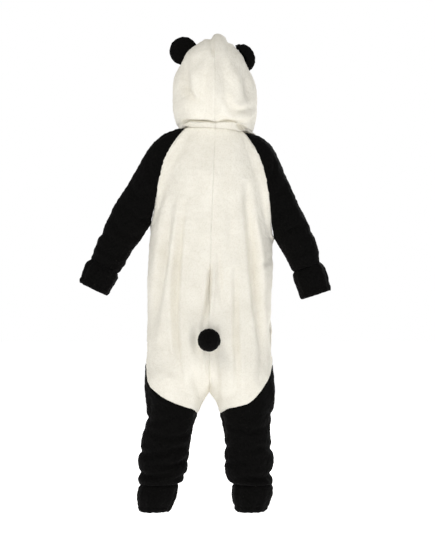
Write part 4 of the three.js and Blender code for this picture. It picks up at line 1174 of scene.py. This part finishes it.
def zip_teeth():
    """Two rows of teeth that mesh along the middle of the front."""
    line, up, out = chain_line()
    shape, pattern = tooth(*TOOTH)
    side_way = np.array((1.0, 0.0, 0.0))
    points = []
    faces = []
    for i in range(len(line)):
        turned = 1 if i % 2 else -1
        root = line[i] - out[i] * TEETH_SUNK - side_way * turned * TEETH_CROSS
        start = len(points)
        points += [root + side_way * turned * x + up[i] * y + out[i] * z for x, y, z in shape]
        faces += [tuple(start + n for n in face) for face in pattern]
    obj = new_object("zip_teeth", points, faces)
    obj.data.polygons.foreach_set("use_smooth", [False] * len(obj.data.polygons))
    return settle(obj, [moulded()], "zip_chain")


def zip_tape(side):
    """One woven tape, from behind the teeth to the front beside it, with a corded edge."""
    name = f"zip_tape_{side}"
    rows, closed = cloth_rows(name, TAPE_WALL)
    width = float(np.linalg.norm(rows[:, -1] - rows[:, 0], axis=1).max())
    end = rows[:1] - (rows[1:2] - rows[:1]) * TAPE_END / np.linalg.norm(rows[1, 0] - rows[0, 0])
    rows = np.concatenate([end, rows])
    inner, outer = (0, -1) if side == "left" else (-1, 0)
    under = rows[:, inner] + (rows[:, inner] - rows[:, outer]) * UNDER_TEETH / width
    normals = normals_of(rows, closed)
    under -= normals[:, inner] * TAPE_SUNK
    parts = [under[:, None], rows] if side == "left" else [rows, under[:, None]]
    grid = fine_cloth(np.concatenate(parts, axis=1), TAPE_GRAIN, closed).grid[::3]
    normals = normals_of(grid, closed)
    out = np.abs(grid[..., 0] - grid[..., 0].mean(axis=1, keepdims=True))
    cord = TAPE_CORD * (out > CORD_FROM)
    face = grid + normals * (cord - 0.1 * MM)[..., None]
    obj = shell(name + "_woven", face, face - normals * TAPE_WALL * 0.8, closed)
    settle(obj, [zip_tape_cloth()] * 2, name)
    return obj


# ---- Operators ----


class MESH_OT_onesie_body(bpy.types.Operator):
    """Build the cream back and front, each of two halves"""

    bl_idname = "mesh.onesie_body"
    bl_label = "Body"

    def execute(self, context):
        for side in SIDES:
            near, far = ("first", "last") if side == "left" else ("last", "first")
            cloth_piece(f"back_{side}", "cream_plush", body_place, BACK_CREASES,
                        {"bottom": 1, "top": 0.5, near: 1, far: 0.1})
            cloth_piece(f"front_{side}", "cream_plush", body_place, FRONT_CREASES,
                        {"bottom": 1, "top": 0.5, far: 1}, calm=near)
        return {"FINISHED"}


class MESH_OT_onesie_hood(bpy.types.Operator):
    """Build the hood from its two halves"""

    bl_idname = "mesh.onesie_hood"
    bl_label = "Hood"

    def execute(self, context):
        for side in SIDES:
            crown, face = ("last", "first") if side == "left" else ("first", "last")
            cloth_piece(f"hood_{side}", "cream_plush", body_place, HOOD_CREASES,
                        {"bottom": 0.3, crown: 0.05}, hems=(face,), calm=face,
                        lap=NECK_LAP, grain=0.7, sag=hood_sag)
        return {"FINISHED"}


class MESH_OT_onesie_sleeves(bpy.types.Operator):
    """Build the raglan sleeves"""

    bl_idname = "mesh.onesie_sleeves"
    bl_label = "Sleeves"

    def execute(self, context):
        for side in SIDES:
            cloth_piece(f"sleeve_{side}", "black_plush", sleeve_place(side),
                        in_degrees(SLEEVE_CREASES[side], SLEEVE_RADIUS),
                        {"bottom": 1, "top": 1, "first": 1, "last": 1},
                        turn=2 * math.pi * SLEEVE_RADIUS)
        return {"FINISHED"}


class MESH_OT_onesie_legs(bpy.types.Operator):
    """Build the legs, each of a back and a front"""

    bl_idname = "mesh.onesie_legs"
    bl_label = "Legs"

    def execute(self, context):
        for side in SIDES:
            creases = in_degrees(LEG_CREASES[side], LEG_RADIUS)
            for face in ("back", "front"):
                cloth_piece(f"leg_{face}_{side}", "black_plush", leg_place(side), creases,
                            {"bottom": 1, "top": 1, "first": 1, "last": 1},
                            turn=2 * math.pi * LEG_RADIUS)
        return {"FINISHED"}


class MESH_OT_onesie_cuffs(bpy.types.Operator):
    """Build the gathered cuffs of the sleeves and legs"""

    bl_idname = "mesh.onesie_cuffs"
    bl_label = "Cuffs"

    def execute(self, context):
        names = [f"{kind}_{side}" for kind in ("cuff", "ankle_cuff") for side in SIDES]
        low, high = GATHER_ENDS
        for number, name in enumerate(names):
            creases = [CUFF_NECK]
            for angle, width, depth in CUFF_GATHERS:
                angle += GATHERS_TURNED * number
                path = [(angle, low), (angle + GATHER_LEAN, high)]
                creases.append(Crease(path, width, depth))
            cloth_piece(name, "black_plush", cuff_place, in_degrees(creases, CUFF_RADIUS),
                        {"top": 1}, hems=("bottom",), turn=2 * math.pi * CUFF_RADIUS,
                        wall=CUFF_WALL)
        return {"FINISHED"}


class MESH_OT_onesie_stuffed(bpy.types.Operator):
    """Build the stuffed ears and tail"""

    bl_idname = "mesh.onesie_stuffed"
    bl_label = "Ears and tail"

    def execute(self, context):
        for side in SIDES:
            stuffed_piece(f"ear_{side}", EAR_PUFF, ear_shape, sewn_to=f"hood_{side}")
        stuffed_piece("tail", TAIL_PUFF, tail_shape)
        return {"FINISHED"}


class MESH_OT_onesie_zip(bpy.types.Operator):
    """Build the zip's tapes and teeth, and finish its slider and pull"""

    bl_idname = "mesh.onesie_zip"
    bl_label = "Zip"

    def execute(self, context):
        zip_teeth()
        for side in SIDES:
            zip_tape(side)
        for name in ("zip_slider", "zip_pull"):
            node = frame["nodes"][name]
            node.data.materials.clear()
            node.data.materials.append(cast_metal())
            bevel = node.modifiers.new("Cast edges", "BEVEL")
            bevel.width = 0.3 * MM
            bevel.segments = 2
            bevel.limit_method = "ANGLE"
        return {"FINISHED"}


def area_light(name, place, target, size, power, colour):
    """A large soft square light that faces a point."""
    data = bpy.data.lights.new(name, "AREA")
    data.shape = "SQUARE"
    data.size = size
    data.energy = power
    data.color = colour
    light = bpy.data.objects.new(name, data)
    light.location = place
    light.rotation_mode = "QUATERNION"
    light.rotation_quaternion = (Vector(target) - Vector(place)).to_track_quat("-Z", "Y")
    bpy.context.scene.collection.objects.link(light)
    return light


class SCENE_OT_onesie_stage(bpy.types.Operator):
    """Set the floor, the light and the camera"""

    bl_idname = "scene.onesie_stage"
    bl_label = "Stage"

    def execute(self, context):
        studio = context.scene.onesie_studio
        self.lay_floor(studio)
        self.light(context, studio)
        self.place_camera(context, studio)
        return {"FINISHED"}

    def lay_floor(self, studio):
        """A wide round pale floor."""
        around = [2 * math.pi * i / 96 for i in range(96)]
        radius = 14.0
        points = [(radius * math.cos(a), radius * math.sin(a), studio.floor) for a in around]
        floor = new_object("floor", points, [tuple(range(96))])
        material, tree, shader, place = new_material("floor")
        cloud = grain_noise(tree, place, 0.6)
        colour = blend_colours(tree, cloud, (0.93, 0.93, 0.93), (0.96, 0.96, 0.96))
        tree.links.new(colour, shader.inputs["Base Color"])
        dial(shader, Roughness=0.7, Specular_IOR_Level=0.1)
        dial(shader, Emission_Color=(1, 1, 1, 1), Emission_Strength=studio.floor_glow)
        floor.data.materials.append(material)

    def light(self, context, studio):
        """Even white surroundings, a large key light and a weaker fill."""
        world = bpy.data.worlds.new("studio")
        world.use_nodes = True
        context.scene.world = world
        tree = world.node_tree
        shown = tree.nodes["Background"]
        dial(shown, Color=(1, 1, 1, 1), Strength=1.0)
        lit = add(tree, "ShaderNodeBackground", Strength=studio.ambient)
        dial(lit, Color=(1, 1, 1, 1))
        path = add(tree, "ShaderNodeLightPath")
        mixed = add(tree, "ShaderNodeMixShader")
        tree.links.new(path.outputs["Is Camera Ray"], mixed.inputs[0])
        tree.links.new(lit.outputs["Background"], mixed.inputs[1])
        tree.links.new(shown.outputs["Background"], mixed.inputs[2])
        tree.links.new(mixed.outputs["Shader"], tree.nodes["World Output"].inputs["Surface"])
        area_light("key", (1.5, 2.7, 2.9), (0, 0, -0.2), 1.5, studio.key, (1, 0.99, 0.97))
        area_light("fill", (-2.4, 3.0, 0.5), (0, 0, -0.3), 2.4, studio.fill, (0.97, 0.98, 1))
        area_light("front", (-1.7, -3.4, 1.4), (0, 0, -0.35), 1.6, studio.key, (1, 0.99, 0.98))

    def place_camera(self, context, studio):
        """A long lens behind the wearer, level with the middle of the suit."""
        data = bpy.data.cameras.new("camera")
        data.sensor_width = 36.0
        data.lens = data.sensor_width * studio.distance / studio.view_height
        data.clip_end = 100.0
        camera = bpy.data.objects.new("camera", data)
        middle = Vector(studio.view_middle)
        camera.location = middle + Vector((0, studio.distance, 0))
        camera.rotation_mode = "QUATERNION"
        camera.rotation_quaternion = Vector((0, -1, 0)).to_track_quat("-Z", "Y")
        context.scene.collection.objects.link(camera)
        context.scene.camera = camera
        context.scene.view_settings.view_transform = "Standard"


class VIEW3D_PT_onesie(bpy.types.Panel):
    """The pieces of the onesie, their sizes and their colours"""

    bl_idname = "VIEW3D_PT_onesie"
    bl_label = "Panda Onesie"
    bl_space_type = "VIEW_3D"
    bl_region_type = "UI"
    bl_category = "Onesie"

    def draw(self, context):
        scene = context.scene
        for group in (scene.onesie_sizes, scene.onesie_colours, scene.onesie_studio):
            box = self.layout.box()
            for name in group.__annotations__:
                box.prop(group, name)
        for operator in OPERATORS:
            self.layout.operator(operator.bl_idname)


GROUPS = {
    "onesie_sizes": PlushSizes,
    "onesie_colours": PlushColours,
    "onesie_studio": StudioSizes,
}
OPERATORS = (
    SCENE_OT_onesie_stage,
    MESH_OT_onesie_body,
    MESH_OT_onesie_hood,
    MESH_OT_onesie_sleeves,
    MESH_OT_onesie_legs,
    MESH_OT_onesie_cuffs,
    MESH_OT_onesie_stuffed,
    MESH_OT_onesie_zip,
)


def register():
    """Registers the settings, the operators and the panel."""
    for name, group in GROUPS.items():
        bpy.utils.register_class(group)
        setattr(bpy.types.Scene, name, PointerProperty(type=group))
    for operator in OPERATORS:
        bpy.utils.register_class(operator)
    bpy.utils.register_class(VIEW3D_PT_onesie)


def unregister():
    """Takes them out again."""
    bpy.utils.unregister_class(VIEW3D_PT_onesie)
    for operator in reversed(OPERATORS):
        bpy.utils.unregister_class(operator)
    for name, group in GROUPS.items():
        delattr(bpy.types.Scene, name)
        bpy.utils.unregister_class(group)


def main():
    """Builds everything."""
    register()
    for operator in OPERATORS:
        group, name = operator.bl_idname.split(".")
        getattr(getattr(bpy.ops, group), name)()


if __name__ == "__main__":
    main()
